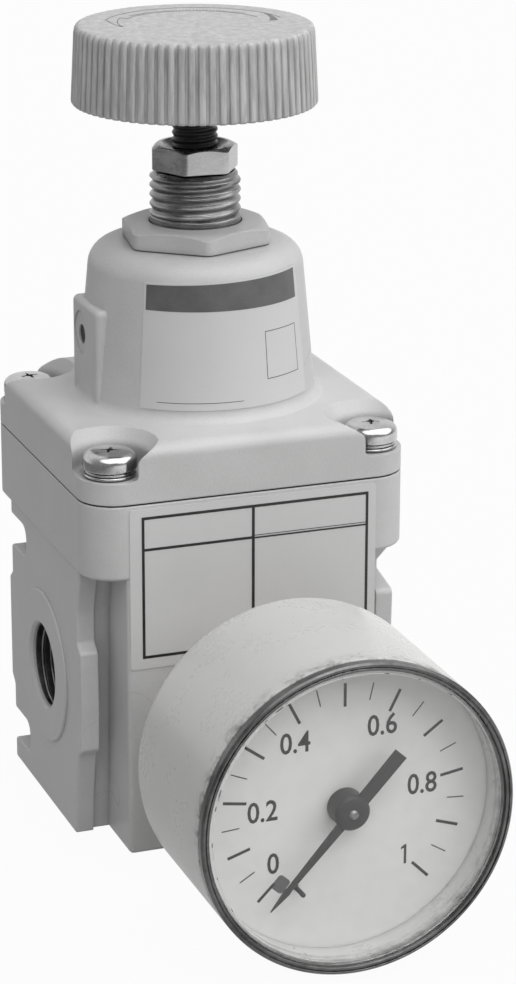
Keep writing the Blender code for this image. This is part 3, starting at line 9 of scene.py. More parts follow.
import bmesh
import bpy
from mathutils import Matrix, Vector

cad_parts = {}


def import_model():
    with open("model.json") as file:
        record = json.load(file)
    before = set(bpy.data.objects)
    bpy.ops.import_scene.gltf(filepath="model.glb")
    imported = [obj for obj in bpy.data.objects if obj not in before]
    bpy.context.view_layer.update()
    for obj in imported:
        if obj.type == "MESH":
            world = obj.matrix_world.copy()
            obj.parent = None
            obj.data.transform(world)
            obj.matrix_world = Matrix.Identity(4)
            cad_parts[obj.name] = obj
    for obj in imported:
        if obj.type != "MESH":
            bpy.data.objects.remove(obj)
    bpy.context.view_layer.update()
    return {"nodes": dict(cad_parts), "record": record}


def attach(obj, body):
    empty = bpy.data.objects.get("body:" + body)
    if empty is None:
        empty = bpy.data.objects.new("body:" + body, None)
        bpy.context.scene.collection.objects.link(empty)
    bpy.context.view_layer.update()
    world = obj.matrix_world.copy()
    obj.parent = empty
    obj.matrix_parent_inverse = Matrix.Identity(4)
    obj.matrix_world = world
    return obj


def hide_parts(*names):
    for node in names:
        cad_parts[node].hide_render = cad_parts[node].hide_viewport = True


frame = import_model()

MM = 0.001
ROUND = 2.0 * math.pi

# Body casting
BODY_HALF = 25.0
BODY_CORNER_R = 5.6
BODY_Z0 = 4.0
BODY_Z1 = 58.1
SEAM_LIP = 0.18
BLOCK_Z0 = 47.0
CORE_HALF = 19.3
PORT_Z = 25.7
SCREW_AT = 20.2
# Bonnet
BONNET_Z0 = 58.7
FLANGE_Z1 = 67.0
BONNET_Z1 = 90.3
ROOF_Z = 86.3
CONE_FOOT_R = 17.95
CONE_TOP_R = 15.75
POCKET_R = 5.5
POCKET_Z = 61.8
# Neck, nuts and knob
NECK_R = 6.77
NECK_Z1 = 100.9
LOCK_NUT_Z0 = 101.1
LOCK_NUT_Z1 = 104.8
SPINDLE_R = 3.4
KNOB_Z0 = 111.0
KNOB_Z1 = 122.5
KNOB_RIBS = 75
# Gauge, distances along -Y
GAUGE_Z = 24.3
CASE_BACK = 38.1
CASE_FRONT = 67.3
GAUGE_R = 23.0
DIAL_FRONT = 60.8
POINTER_ANGLE = 222.5
DIAL_START_DEG = 135.0
DIAL_STEP_DEG = -27.0
MARK_END_R = 17.8
STOP_REACH = 13.2
STOP_ANGLE_DEG = 213.0
# Floor, light and camera, in metres
FLOOR_HALF = 3.0
FLOOR_DROP = 0.00005
FLOOR_GREY = 0.45
FLOOR_WHITE_SHARE = 0.96
ROOM_LIGHT = 0.26
BACKDROP_IN_MIRROR = 0.80
LENS_MM = 116.63
LENS_SHIFT = (-0.0039, -0.0149)
CAMERA_PLACE = (-0.15197, -0.43581, 0.20398)
CAMERA_AZIMUTH_DEG = -20.462
CAMERA_ELEVATION_DEG = 18.12
CAMERA_ROLL_DEG = 0.128


# Materials


def feed(tree, socket, term):
    """Links another node's output to an input, or writes a plain value into it."""
    if isinstance(term, bpy.types.NodeSocket):
        tree.links.new(term, socket)
    else:
        socket.default_value = term


def add_node(tree, kind, **settings):
    """A node with its properties set, and its inputs set or linked."""
    node = tree.nodes.new(kind)
    for key, value in settings.items():
        if key in node.bl_rna.properties:
            setattr(node, key, value)
        else:
            feed(tree, node.inputs[key.replace("_", " ")], value)
    return node


def computed(tree, operation, *terms, clamp=False):
    """The value of a Math node on these terms."""
    made = add_node(tree, "ShaderNodeMath", operation=operation, use_clamp=clamp)
    for socket, term in zip(made.inputs, terms):
        feed(tree, socket, term)
    return made.outputs["Value"]


def ranged(tree, value, start, end, low=0.0, high=1.0, kind="LINEAR"):
    """The value mapped from start and end to low and high."""
    made = add_node(tree, "ShaderNodeMapRange", interpolation_type=kind, Value=value)
    for socket, term in (("From Min", start), ("From Max", end), ("To Min", low), ("To Max", high)):
        feed(tree, made.inputs[socket], term)
    return made.outputs["Result"]


def noise(tree, place, scale, detail, roughness=0.5, distortion=0.0):
    made = add_node(
        tree, "ShaderNodeTexNoise", Vector=place, Scale=scale, Detail=detail, Roughness=roughness,
    )
    made.inputs["Distortion"].default_value = distortion
    return made.outputs["Fac"]


def tinted(tree, below, tint, share):
    """The colour below with a tint laid over it by a share from 0 to 1."""
    layer = add_node(tree, "ShaderNodeMix", data_type="RGBA", Factor=share)
    ends = [socket for socket in layer.inputs if socket.type == "RGBA"]
    feed(tree, ends[0], below)
    feed(tree, ends[1], tint)
    return [socket for socket in layer.outputs if socket.type == "RGBA"][0]


def mixed_shaders(tree, share, first, second):
    mix = add_node(tree, "ShaderNodeMixShader", Fac=share)
    feed(tree, mix.inputs[1], first)
    feed(tree, mix.inputs[2], second)
    return mix.outputs["Shader"]


def new_group(name, inputs, outputs):
    """An empty shader group with float inputs and outputs, and its two end nodes."""
    tree = bpy.data.node_groups.new(name, "ShaderNodeTree")
    for socket, value in inputs.items():
        made = tree.interface.new_socket(socket, in_out="INPUT", socket_type="NodeSocketFloat")
        made.default_value = value
    for socket in outputs:
        tree.interface.new_socket(socket, in_out="OUTPUT", socket_type="NodeSocketFloat")
    return tree, tree.nodes.new("NodeGroupInput"), tree.nodes.new("NodeGroupOutput")


def grain_group():
    """Surface grain: Height for a bump, Shade as a slow cloudy variation and Hairline as faint thin lines.

    Along Z under 1 draws the grain out into upright streaks, and over 1 into level ones.
    """
    sockets = {"Fine": 3000.0, "Slow": 60.0, "Along Z": 1.0}
    tree, given, out = new_group("surface_grain", sockets, ("Height", "Shade", "Hairline"))
    place = add_node(tree, "ShaderNodeTexCoord").outputs["Object"]
    drawn_out = add_node(tree, "ShaderNodeCombineXYZ", X=1.0, Y=1.0, Z=given.outputs["Along Z"])
    stretched = add_node(tree, "ShaderNodeVectorMath", operation="MULTIPLY")
    feed(tree, stretched.inputs[0], place)
    feed(tree, stretched.inputs[1], drawn_out.outputs["Vector"])
    spot = stretched.outputs["Vector"]
    fine = noise(tree, spot, given.outputs["Fine"], 4.0, 0.6)
    slow = noise(tree, spot, given.outputs["Slow"], 3.0, 0.55)
    feed(tree, out.inputs["Height"], fine)
    speckle = computed(tree, "MULTIPLY_ADD", fine, 0.5, -0.25)
    shade = computed(tree, "ADD", slow, speckle, clamp=True)
    feed(tree, out.inputs["Shade"], ranged(tree, shade, 0.32, 0.68))
    # Hairlines follow the level lines of a broad noise, and only parts of them show.
    broad = noise(tree, place, 24.0, 2.0, 0.4, 0.8)
    away = computed(tree, "ABSOLUTE", computed(tree, "SUBTRACT", broad, 0.50))
    thin = ranged(tree, away, 0.0011, 0.0003)
    shown = ranged(tree, noise(tree, place, 75.0, 1.0), 0.55, 0.63)
    feed(tree, out.inputs["Hairline"], computed(tree, "MULTIPLY", thin, shown))
    return tree


def edge_group():
    """Edge is 1 where the surface turns a sharp corner, in patches, and Crevice is 1 deep in a corner."""
    tree, given, out = new_group("edge_wear", {"Width": 0.0003, "Break up": 900.0}, ("Edge", "Crevice"))
    place = add_node(tree, "ShaderNodeTexCoord").outputs["Object"]
    here = add_node(tree, "ShaderNodeNewGeometry")
    rounded_normal = add_node(tree, "ShaderNodeBevel", samples=4, Radius=given.outputs["Width"])
    turned = add_node(tree, "ShaderNodeVectorMath", operation="DOT_PRODUCT")
    feed(tree, turned.inputs[0], rounded_normal.outputs["Normal"])
    feed(tree, turned.inputs[1], here.outputs["Normal"])
    sharp = ranged(tree, turned.outputs["Value"], 0.995, 0.88)
    patchy = ranged(tree, noise(tree, place, given.outputs["Break up"], 3.0), 0.35, 0.65)
    feed(tree, out.inputs["Edge"], computed(tree, "MULTIPLY", sharp, patchy))
    # Crevice comes from ambient occlusion. It darkens the colour deep in corners as painted shade.
    shade = add_node(tree, "ShaderNodeAmbientOcclusion", samples=4, Distance=0.0025)
    feed(tree, out.inputs["Crevice"], ranged(tree, shade.outputs["AO"], 0.75, 0.25))
    return tree


GRAIN = grain_group()
EDGES = edge_group()


def grey(level):
    return (level, level, level, 1.0)


def finish_material(
    name,
    colour,
    roughness,
    metallic=0.0,
    rubbed_edge_and_glint=None,
    corner_shade=None,
    fine=3000.0,
    slow=60.0,
    cloud=0.05,
    bump=0.05,
    soften=0.00025,
    edge_width=0.0003,
    coat=0.0,
    along_z=1.0,
    hairline=0.0,
    rim_grime=None,
):
    """A painted, plated or machined finish: cloudy colour, light edges that are wear on most finishes and
    painted glints on the bezel, painted shade in the corners and fine grain.
    """
    made = bpy.data.materials.new(name)
    made.use_nodes = True
    tree = made.node_tree
    shader = tree.nodes["Principled BSDF"]
    shader.inputs["Metallic"].default_value = metallic
    shader.inputs["Coat Weight"].default_value = coat
    shader.inputs["Coat Roughness"].default_value = 0.12
    grain = tree.nodes.new("ShaderNodeGroup")
    grain.node_tree = GRAIN
    for socket, value in (("Fine", fine), ("Slow", slow), ("Along Z", along_z)):
        grain.inputs[socket].default_value = value
    low = tuple(c * (1.0 - cloud) for c in colour[:3]) + (1.0,)
    high = tuple(min(c * (1.0 + cloud), 1.0) for c in colour[:3]) + (1.0,)
    mixed = tinted(tree, low, high, grain.outputs["Shade"])
    if rubbed_edge_and_glint is not None or corner_shade is not None:
        edges = tree.nodes.new("ShaderNodeGroup")
        edges.node_tree = EDGES
        edges.inputs["Width"].default_value = edge_width
        # The Edge tint is wear on most finishes and a painted glint on the bezel. The Crevice tint is painted
        # shade.
        for mask, tint, strength in (("Edge", rubbed_edge_and_glint, 0.7), ("Crevice", corner_shade, 0.6)):
            if tint is not None:
                mixed = tinted(tree, mixed, tint, computed(tree, "MULTIPLY", edges.outputs[mask], strength))
    if hairline:
        lines = computed(tree, "MULTIPLY", grain.outputs["Hairline"], hairline)
        mixed = tinted(tree, mixed, grey(0.04), lines)
    if rim_grime:
        place = add_node(tree, "ShaderNodeTexCoord").outputs["Object"]
        sides = add_node(tree, "ShaderNodeSeparateXYZ", Vector=place)
        near = ranged(tree, sides.outputs["Y"], *rim_grime, kind="SMOOTHSTEP")
        patchy = ranged(tree, noise(tree, place, 420.0, 5.0, 0.7), 0.46, 0.66)
        mixed = tinted(tree, mixed, grey(0.16), computed(tree, "MULTIPLY", near, patchy))
    feed(tree, shader.inputs["Base Color"], mixed)
    smoothest = max(roughness - 0.06, 0.02)
    rough = ranged(tree, grain.outputs["Shade"], 0.0, 1.0, smoothest, roughness + 0.06)
    feed(tree, shader.inputs["Roughness"], rough)
    height = grain.outputs["Height"]
    raised = add_node(tree, "ShaderNodeBump", Strength=bump, Distance=0.0001, Height=height)
    if soften:
        corner = add_node(tree, "ShaderNodeBevel", samples=4, Radius=soften)
        feed(tree, raised.inputs["Normal"], corner.outputs["Normal"])
    feed(tree, shader.inputs["Normal"], raised.outputs["Normal"])
    return made


CAST_ENAMEL = finish_material(
    "cast_enamel",
    grey(0.575),
    0.42,
    rubbed_edge_and_glint=grey(0.70),
    corner_shade=grey(0.16),
    fine=2400.0,
    slow=90.0,
    cloud=0.05,
    bump=0.4,
    hairline=0.18,
)
GAUGE_ENAMEL = finish_material(
    "gauge_enamel",
    (0.62, 0.62, 0.61, 1.0),
    0.30,
    corner_shade=grey(0.30),
    fine=1500.0,
    slow=110.0,
    cloud=0.022,
    bump=0.12,
    coat=0.15,
    rim_grime=(-0.0625, -0.0662),
)
KNOB_PLASTIC = finish_material(
    "knob_plastic", grey(0.50), 0.46, corner_shade=grey(0.03), fine=3500.0, slow=1100.0, cloud=0.20, bump=0.4,
    along_z=0.10
)
STEEL = finish_material(
    "turned_steel", grey(0.52), 0.28, 1.0, corner_shade=grey(0.05), fine=1600.0, slow=260.0, cloud=0.16, bump=0.25,
    soften=0.00012, along_z=2.5
)
# The neck's dark base colour and its level streaks are partly the steel's own tone and partly painted
# reflection: the dark bands that its threads mirror.
STREAKED_STEEL = finish_material(
    "worn_steel", grey(0.28), 0.27, 1.0, corner_shade=grey(0.01), fine=420.0, slow=150.0, cloud=0.45, bump=0.35,
    soften=0.00008, along_z=22.0
)
CHROME = finish_material(
    "bright_plating", grey(0.56), 0.15, 1.0, corner_shade=grey(0.06), fine=1800.0, slow=300.0, cloud=0.15,
    bump=0.08, soften=0.00015
)
# Bare metal, darkened to stand for the shade deep inside the ports: painted shade.
SHADED_BORE_METAL = finish_material(
    "bored_metal", grey(0.22), 0.34, 1.0, corner_shade=grey(0.03), fine=2600.0, slow=300.0, cloud=0.3, bump=0.15,
    soften=0.0001
)
BLACK_OXIDE = finish_material(
    "black_oxide", grey(0.055), 0.36, 0.7, rubbed_edge_and_glint=grey(0.30), fine=2600.0, cloud=0.25, bump=0.15,
    soften=0.0001, edge_width=0.00012
)
ALUMINIUM = finish_material(
    "machined_aluminium", grey(0.62), 0.33, 1.0, corner_shade=grey(0.2), fine=3000.0, cloud=0.05, bump=0.1,
)
BRASS = finish_material(
    "machined_brass", (0.62, 0.50, 0.30, 1.0), 0.28, 1.0, corner_shade=(0.2, 0.15, 0.08, 1.0), fine=2800.0,
    cloud=0.08, bump=0.08,
)
RUBBER = finish_material("black_rubber", grey(0.035), 0.62, fine=2500.0, cloud=0.2, bump=0.3)
DIAL_WHITE = finish_material(
    "dial_white", (0.88, 0.88, 0.87, 1.0), 0.55, fine=3500.0, slow=400.0, cloud=0.025, bump=0.12,
    soften=0.0,
)
INK = finish_material(
    "printed_ink", grey(0.022), 0.42, fine=4000.0, slow=900.0, cloud=0.35, bump=0.05, soften=0.0,
)
GREY_INK = finish_material(
    "grey_ink", grey(0.125), 0.40, fine=4000.0, slow=300.0, cloud=0.12, bump=0.05, soften=0.0,
)
LABEL_PAPER = finish_material(
    "label_film", grey(0.64), 0.34, fine=3000.0, slow=90.0, cloud=0.02, bump=0.06, soften=0.0, coat=0.2,
)
NEEDLE_BLACK = finish_material(
    "needle_black", grey(0.028), 0.38, fine=2500.0, cloud=0.2, bump=0.08, soften=0.0001, rubbed_edge_and_glint=grey(0.12),
    edge_width=0.0001,
)
# On the bezel the light edge tint is a painted glint and the dark corner tint is painted shade.
BEZEL_DARK = finish_material(
    "bezel_dark", grey(0.13), 0.20, 0.75, rubbed_edge_and_glint=grey(0.85), corner_shade=grey(0.01), fine=2000.0, slow=200.0,
    cloud=0.35, bump=0.1, soften=0.00008,
    edge_width=0.00012,
)


def crystal_material():
    made = bpy.data.materials.new("clear_crystal")
    made.use_nodes = True
    tree = made.node_tree
    shader = tree.nodes["Principled BSDF"]
    shader.inputs["Base Color"].default_value = grey(0.99)
    shader.inputs["Roughness"].default_value = 0.03
    shader.inputs["IOR"].default_value = 1.45
    shader.inputs["Metallic"].default_value = 0.0
    shader.inputs["Transmission Weight"].default_value = 1.0
    # A lamp's light passes straight through, so that the dial behind isn't left dark.
    path = add_node(tree, "ShaderNodeLightPath")
    clear = add_node(tree, "ShaderNodeBsdfTransparent", Color=grey(0.98))
    either = computed(tree, "MAXIMUM", path.outputs["Is Shadow Ray"], path.outputs["Is Diffuse Ray"])
    mix = mixed_shaders(tree, either, shader.outputs["BSDF"], clear.outputs["BSDF"])
    feed(tree, tree.nodes["Material Output"].inputs["Surface"], mix)
    return made


CRYSTAL = crystal_material()


# Shape tools


def filleted(points, closed=True, steps=6):
    """The outline or profile with each (x, y, radius) corner turned into an arc. Plain ones stay."""
    made = []
    count = len(points)
    for index, point in enumerate(points):
        radius = point[2] if len(point) > 2 else 0.0
        if radius == 0.0 or (not closed and index in (0, count - 1)):
            made.append((point[0], point[1]))
            continue
        here = Vector(point[:2])
        before = (Vector(points[index - 1][:2]) - here).normalized()
        after = (Vector(points[(index + 1) % count][:2]) - here).normalized()
        half = before.angle(after) / 2.0
        centre = here + (before + after).normalized() * radius / math.sin(half)
        first = here + before * radius / math.tan(half) - centre
        last = here + after * radius / math.tan(half) - centre
        start = math.atan2(first.y, first.x)
        sweep = (math.atan2(last.y, last.x) - start + math.pi) % ROUND - math.pi
        for step in range(steps + 1):
            angle = start + sweep * step / steps
            made.append((centre.x + radius * math.cos(angle), centre.y + radius * math.sin(angle)))
    return made


def mesh_from(name, verts, faces, merge=0.0005):
    """A closed mesh with its doubles merged and its faces turned outwards."""
    mesh = bpy.data.meshes.new(name)
    shape = bmesh.new()
    points = [shape.verts.new(v) for v in verts]
    for face in faces:
        shape.faces.new([points[k] for k in face])
    bmesh.ops.remove_doubles(shape, verts=shape.verts, dist=merge)
    bmesh.ops.recalc_face_normals(shape, faces=shape.faces)
    shape.to_mesh(mesh)
    shape.free()
    return mesh


def lathe(name, profile, sides=96, ring=False):
    """The (radius, height) profile turned about Z. A ring's profile closes on itself."""
    verts = []
    rows = []
    for radius, height in profile:
        if radius < 0.0001:
            rows.append([len(verts)])
            verts.append((0.0, 0.0, height))
            continue
        rows.append([len(verts) + k for k in range(sides)])
        for k in range(sides):
            angle = ROUND * k / sides
            verts.append((radius * math.cos(angle), radius * math.sin(angle), height))
    faces = []
    pairs = list(zip(rows, rows[1:]))
    if ring:
        pairs.append((rows[-1], rows[0]))
    for low, high in pairs:
        for k in range(sides):
            after = (k + 1) % sides
            if len(low) == 1:
                faces.append((low[0], high[k], high[after]))
            elif len(high) == 1:
                faces.append((low[after], low[k], high[0]))
            else:
                faces.append((low[k], low[after], high[after], high[k]))
    return mesh_from(name, verts, faces)


def slab(name, outline, low, high, low_edge=0.0, high_edge=0.0, sides_edge=0.0, steps=4):
    """The (x, y) outline as a solid, its bottom, top and sharp upright edges rounded by their own radii."""
    count = len(outline)
    verts = [(x, y, low) for x, y in outline] + [(x, y, high) for x, y in outline]
    faces = [tuple(reversed(range(count))), tuple(range(count, 2 * count))]
    faces += [(k, (k + 1) % count, count + (k + 1) % count, count + k) for k in range(count)]
    mesh = mesh_from(name, verts, faces)
    shape = bmesh.new()
    shape.from_mesh(mesh)
    if sides_edge:
        upright = [
            edge
            for edge in shape.edges
            if abs(edge.verts[0].co.z - edge.verts[1].co.z) > 0.001 and edge.calc_face_angle() > 0.6
        ]
        bmesh.ops.bevel(shape, geom=upright, offset=sides_edge, segments=steps, profile=0.5, affect="EDGES")
    for height, radius in ((low, low_edge), (high, high_edge)):
        if radius:
            rim = [edge for edge in shape.edges if all(abs(v.co.z - height) < 0.001 for v in edge.verts)]
            rim = [edge for edge in rim if edge.calc_face_angle() > 0.6]
            bmesh.ops.bevel(shape, geom=rim, offset=radius, segments=steps, profile=0.5, affect="EDGES")
    many_sided = [face for face in shape.faces if len(face.verts) > 4]
    bmesh.ops.triangulate(shape, faces=many_sided, ngon_method="BEAUTY")
    bmesh.ops.recalc_face_normals(shape, faces=shape.faces)
    shape.to_mesh(mesh)
    shape.free()
    return mesh


def rectangle(x0, x1, y0, y1, radius=0.0, steps=8):
    return filleted([(x0, y0, radius), (x1, y0, radius), (x1, y1, radius), (x0, y1, radius)], True, steps)


def hexagon(across_flats, turn_deg, corner_r=0.0, steps=5):
    reach = across_flats / 2.0 / math.cos(ROUND / 12.0)
    turn = math.radians(turn_deg)
    corners = []
    for k in range(6):
        angle = turn + k * ROUND / 6.0
        corners.append((reach * math.sin(angle), -reach * math.cos(angle), corner_r))
    return filleted(corners, True, steps)


def moved(mesh, matrix):
    mesh.transform(matrix)
    if matrix.determinant() < 0.0:
        mesh.flip_normals()
    return mesh


def shift(mesh, x=0.0, y=0.0, z=0.0):
    return moved(mesh, Matrix.Translation((x, y, z)))


def pointing(mesh, direction, at):
    """Turns the mesh's +Z to the direction and sets its origin at the point."""
    turn = Vector(direction).to_track_quat("Z", "Y").to_matrix().to_4x4()
    return moved(mesh, Matrix.Translation(at) @ turn)


def on_dial(mesh, distance):
    """Local +X is right, +Y up and +Z out of the dial; the mesh's zero lies at this distance along -Y."""
    columns = Matrix(((1.0, 0.0, 0.0), (0.0, 0.0, -1.0), (0.0, 1.0, 0.0))).to_4x4()
    return moved(mesh, Matrix.Translation((0.0, -distance, GAUGE_Z)) @ columns)


def between(start, end, radius, sides=32):
    """A round rod from one point to the other."""
    run = Vector(end) - Vector(start)
    rod = lathe("rod", [(0.0, 0.0), (radius, 0.0), (radius, run.length), (0.0, run.length)], sides)
    return pointing(rod, run, start)


def scratch_object(mesh):
    made = bpy.data.objects.new(mesh.name, mesh)
    bpy.context.scene.collection.objects.link(made)
    return made


def worked(base, steps):
    """The mesh after modifiers: each step is a function that adds one to the object."""
    holder = scratch_object(base)
    for step in steps:
        step(holder)
    bpy.context.view_layer.update()
    graph = bpy.context.evaluated_depsgraph_get()
    result = bpy.data.meshes.new_from_object(holder.evaluated_get(graph))
    bpy.data.objects.remove(holder)
    return result


def carved(base, joined=(), cut=()):
    """One mesh: the base joined with some solids, then with others cut out of it."""
    tools = []

    def boolean(mesh, operation):
        tool = scratch_object(mesh)
        tools.append(tool)

        def step(holder):
            modifier = holder.modifiers.new("tool", "BOOLEAN")
            modifier.operation = operation
            modifier.object = tool
            modifier.solver = "MANIFOLD"

        return step

    steps = [boolean(mesh, "UNION") for mesh in joined] + [boolean(mesh, "DIFFERENCE") for mesh in cut]
    result = worked(base, steps)
    for tool in tools:
        bpy.data.objects.remove(tool)
    return result


def joined_meshes(*meshes):
    shape = bmesh.new()
    for mesh in meshes:
        shape.from_mesh(mesh)
    result = bpy.data.meshes.new(meshes[0].name)
    shape.to_mesh(result)
    shape.free()
    return result


def piece(name, mesh, finish, body="housing", nodes=(), sharp_deg=32.0, even=True):
    """Finishes a mesh drawn in millimetres as a piece that rides on a body and stands for CAD nodes."""
    mesh.transform(Matrix.Scale(MM, 4))
    mesh.materials.clear()
    mesh.materials.append(finish)
    for polygon in mesh.polygons:
        polygon.material_index = 0
    mesh.shade_smooth()
    mesh.set_sharp_from_angle(angle=math.radians(sharp_deg))
    mesh.name = name

    def weighted(holder):
        modifier = holder.modifiers.new("even", "WEIGHTED_NORMAL")
        modifier.keep_sharp = True

    if even:
        mesh = worked(mesh, [weighted])
    made = bpy.data.objects.new(name, mesh)
    mesh.name = name
    bpy.context.scene.collection.objects.link(made)
    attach(made, body)
    if nodes:
        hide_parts(*nodes)
    return made


def thin_layer(name, mesh, finish):
    """A printed or stuck-on layer of the housing."""
    return piece(name, mesh, finish, sharp_deg=50.0, even=False)


# Body casting


def plate_edge(grow, outlet):
    """One side plate in (y, z): clamp notches and a raised middle towards +y, a smooth edge towards -y.

    The outlet's upper notch slopes up into the block.
    """
    side = 16.0 + grow
    bulge_top = BLOCK_Z0 - 13.0

    def notch(middle):
        low, high = middle - 2.5, middle + 2.5
        return [(side, low, 0.6), (9.0, low, 2.0), (9.0, high, 2.0), (side, high, 0.5)]

    points = [(side, BODY_Z0, 0.5)] + notch(BODY_Z0 + 5.9)
    points += [(side, BODY_Z0 + 12.4, 0.8), (18.4, BODY_Z0 + 13.6, 0.8)]
    if outlet:
        points += [(18.4 + grow, 38.4, 1.0), (13.0, 39.8, 0.3), (13.0, 41.0, 0.3), (19.0 + grow, 46.6, 0.5)]
        points += [(19.0 + grow, BLOCK_Z0 + 1.5)]
    else:
        points += [(18.4, bulge_top, 0.8), (side, bulge_top + 1.2, 0.8)] + notch(BLOCK_Z0 - 4.7)
        points += [(side, BLOCK_Z0 + 1.5)]
    points += [(-17.7 - grow, BLOCK_Z0 + 1.5), (-17.7 - grow, BLOCK_Z0 - 1.2, 1.5)]
    points += [(-16.0 - grow, BLOCK_Z0 - 7.0, 4.0)]
    if grow:
        points += [
            (-16.0 - grow, bulge_top + 1.2, 0.8), (-17.6 - grow, bulge_top, 0.8),
            (-17.9 - grow, PORT_Z, 9.0),
        ]
        points += [(-17.6 - grow, 18.6, 0.8), (-16.0 - grow, 17.4, 0.8)]
    points += [(-14.6 - grow, BODY_Z0 + 5.9, 2.0), (-14.1 - grow, BODY_Z0, 0.5)]
    return filleted(points, True, 5)


def side_plate(side, near, far, grow, soft):
    """A plate between two distances from the middle; the outlet's is the inlet's turned half a turn."""
    flat = slab("side_plate", plate_edge(grow, side > 0.0), -far, -near, low_edge=soft, steps=3)
    stand = Matrix(((0.0, 0.0, 1.0), (1.0, 0.0, 0.0), (0.0, 1.0, 0.0))).to_4x4()
    turn = Matrix.Rotation(ROUND / 2.0 if side > 0.0 else 0.0, 4, "Z")
    return moved(flat, turn @ stand)


PORT_CUT = [(0.0, 2.0), (7.3, 2.0), (7.3, 0.42), (6.9, 0.1), (6.45, -0.5), (6.35, -12.4), (0.0, -13.6)]
PORT_GROOVE = [(8.95, 0.8), (9.45, 0.8), (9.3, 0.12), (9.1, 0.12)]


def corner_places():
    return [(sx * SCREW_AT, sy * SCREW_AT) for sx, sy in ((-1, -1), (1, -1), (1, 1), (-1, 1))]


def body_shell():
    outline = rectangle(-BODY_HALF, BODY_HALF, -BODY_HALF, BODY_HALF, BODY_CORNER_R, 14)
    block = slab("body_shell", outline, BLOCK_Z0, BODY_Z1 + SEAM_LIP, 0.6, 0.15, steps=4)
    core_outline = rectangle(-CORE_HALF, CORE_HALF, -BODY_HALF, BODY_HALF, 0.7, 4)
    core = slab("core", core_outline, BODY_Z0, BODY_Z1 - 5.5, 0.6, 0.0, steps=3)
    solids = [core]
    cuts = []
    for side in (-1.0, 1.0):
        solids.append(side_plate(side, 21.9, 24.6, 0.9, 0.3))
        solids.append(side_plate(side, CORE_HALF - 1.0, 22.9, 0.0, 0.0))
        boss_profile = filleted([(0.0, -2.0), (11.8, -2.0), (11.8, 0.4, 0.3), (0.0, 0.4)], False, 4)
        solids.append(pointing(lathe("boss", boss_profile), (side, 0, 0), (side * 24.6, 0, PORT_Z)))
        cuts.append(pointing(lathe("port", PORT_CUT, 64), (side, 0, 0), (side * BODY_HALF, 0, PORT_Z)))
        groove = lathe("groove", PORT_GROOVE, 96, ring=True)
        cuts.append(pointing(groove, (side, 0, 0), (side * BODY_HALF, 0, PORT_Z)))
    seat_top = 28.0
    seat_under = 25.0
    valve_side = [(0.0, 29.0), (4.2, 29.0), (4.2, seat_under), (8.0, seat_under), (8.0, 13.5), (11.2, 13.5)]
    valve_side += [(11.2, 4.8), (12.0, 3.0), (0.0, 3.0)]
    upper_side = [
        (0.0, 59.1), (18.6, 59.1), (18.6, 47.3), (15.0, 47.3), (15.0, 43.0), (2.2, 43.0), (2.2, 39.0),
    ]
    upper_side += [(8.0, 39.0), (8.0, seat_top), (0.0, seat_top)]
    cuts += [lathe("valve_side", valve_side, 48), lathe("upper_side", upper_side, 48)]
    cuts.append(between((-14.5, 0, PORT_Z - 1.0), (-6.0, 0, 17.0), 3.3))
    cuts.append(between((14.5, 0, PORT_Z + 1.0), (6.0, 0, 33.5), 3.3))
    cuts.append(between((0, 5, 38.0), (0, 5, 44.0), 1.2, 16))
    for side in (-1.0, 1.0):
        mouth = [(0.0, 1.0), (5.7, 1.0), (5.7, 0.05), (4.9, -0.75), (4.9, -11.0), (0.0, -11.0)]
        cuts.append(pointing(lathe("gauge_port", mouth, 48), (0, side, 0), (0, side * BODY_HALF, GAUGE_Z)))
        cuts.append(between((0, side * 15.0, GAUGE_Z + 1.0), (0, side * 6.0, 33.5), 1.2, 16))
    for x, y in corner_places():
        cuts.append(between((x, y, BODY_Z1 - 9.6), (x, y, BODY_Z1 + 1.0), 2.1, 24))
    mesh = carved(block, solids, cuts)
    return piece("body_shell", mesh, CAST_ENAMEL, nodes=["body_casting"])


def thread_wall(
    name, radius, depth, pitch, low, high, sides=72, per_turn=8, fade=0.7, inner=None, inside=False,
    foot=1.0,
):
    """A screw thread as one wall whose radius follows the helix, with the other wall at the inner radius.

    The foot is the share of its depth that the thread keeps at its low end.
    """
    steps = max(int(round((high - low) / pitch * per_turn)), 4)
    grid = []
    for row in range(steps + 1):
        z = low + (high - low) * row / steps
        ends = min((z - low) / fade, (high - z) / fade, 1.0)
        cut_depth = depth * (foot + (1.0 - foot) * (z - low) / (high - low))
        ring = []
        for k in range(sides):
            phase = (z / pitch - k / sides) % 1.0
            ridge = abs(phase * 2.0 - 1.0)
            ridge = min(max((ridge - 0.12) / 0.76, 0.0), 1.0)
            sink = cut_depth * (1.0 - ridge) if not inside else -cut_depth * (1.0 - ridge)
            start = depth if not inside else -depth
            ring.append(radius - (start + (sink - start) * max(ends, 0.0)))
        grid.append((z, ring))
    verts = []
    rows = []
    for z, ring in grid:
        rows.append(range(len(verts), len(verts) + sides))
        for k, reach in enumerate(ring):
            angle = ROUND * k / sides
            verts.append((reach * math.cos(angle), reach * math.sin(angle), z))
    for z in (high, low):
        rows.append(range(len(verts), len(verts) + sides))
        for k in range(sides):
            angle = ROUND * k / sides
            verts.append((inner * math.cos(angle), inner * math.sin(angle), z))
    faces = []
    for lower, upper in list(zip(rows, rows[1:])) + [(rows[-1], rows[0])]:
        for k in range(sides):
            after = (k + 1) % sides
            faces.append((lower[k], lower[after], upper[after], upper[k]))
    return mesh_from(name, verts, faces)


def port_threads():
    for side, name in ((-1.0, "inlet_thread"), (1.0, "outlet_thread")):
        mesh = thread_wall(name, 6.15, 0.55, 1.34, -12.2, -0.9, inner=6.33, inside=True)
        pointing(mesh, (side, 0, 0), (side * BODY_HALF, 0, PORT_Z))
        piece(name, mesh, SHADED_BORE_METAL, sharp_deg=60.0, even=False)


# Bonnet


def cone_radius(z):
    return CONE_FOOT_R + (CONE_TOP_R - CONE_FOOT_R) * (z - FLANGE_Z1) / (BONNET_Z1 - FLANGE_Z1)


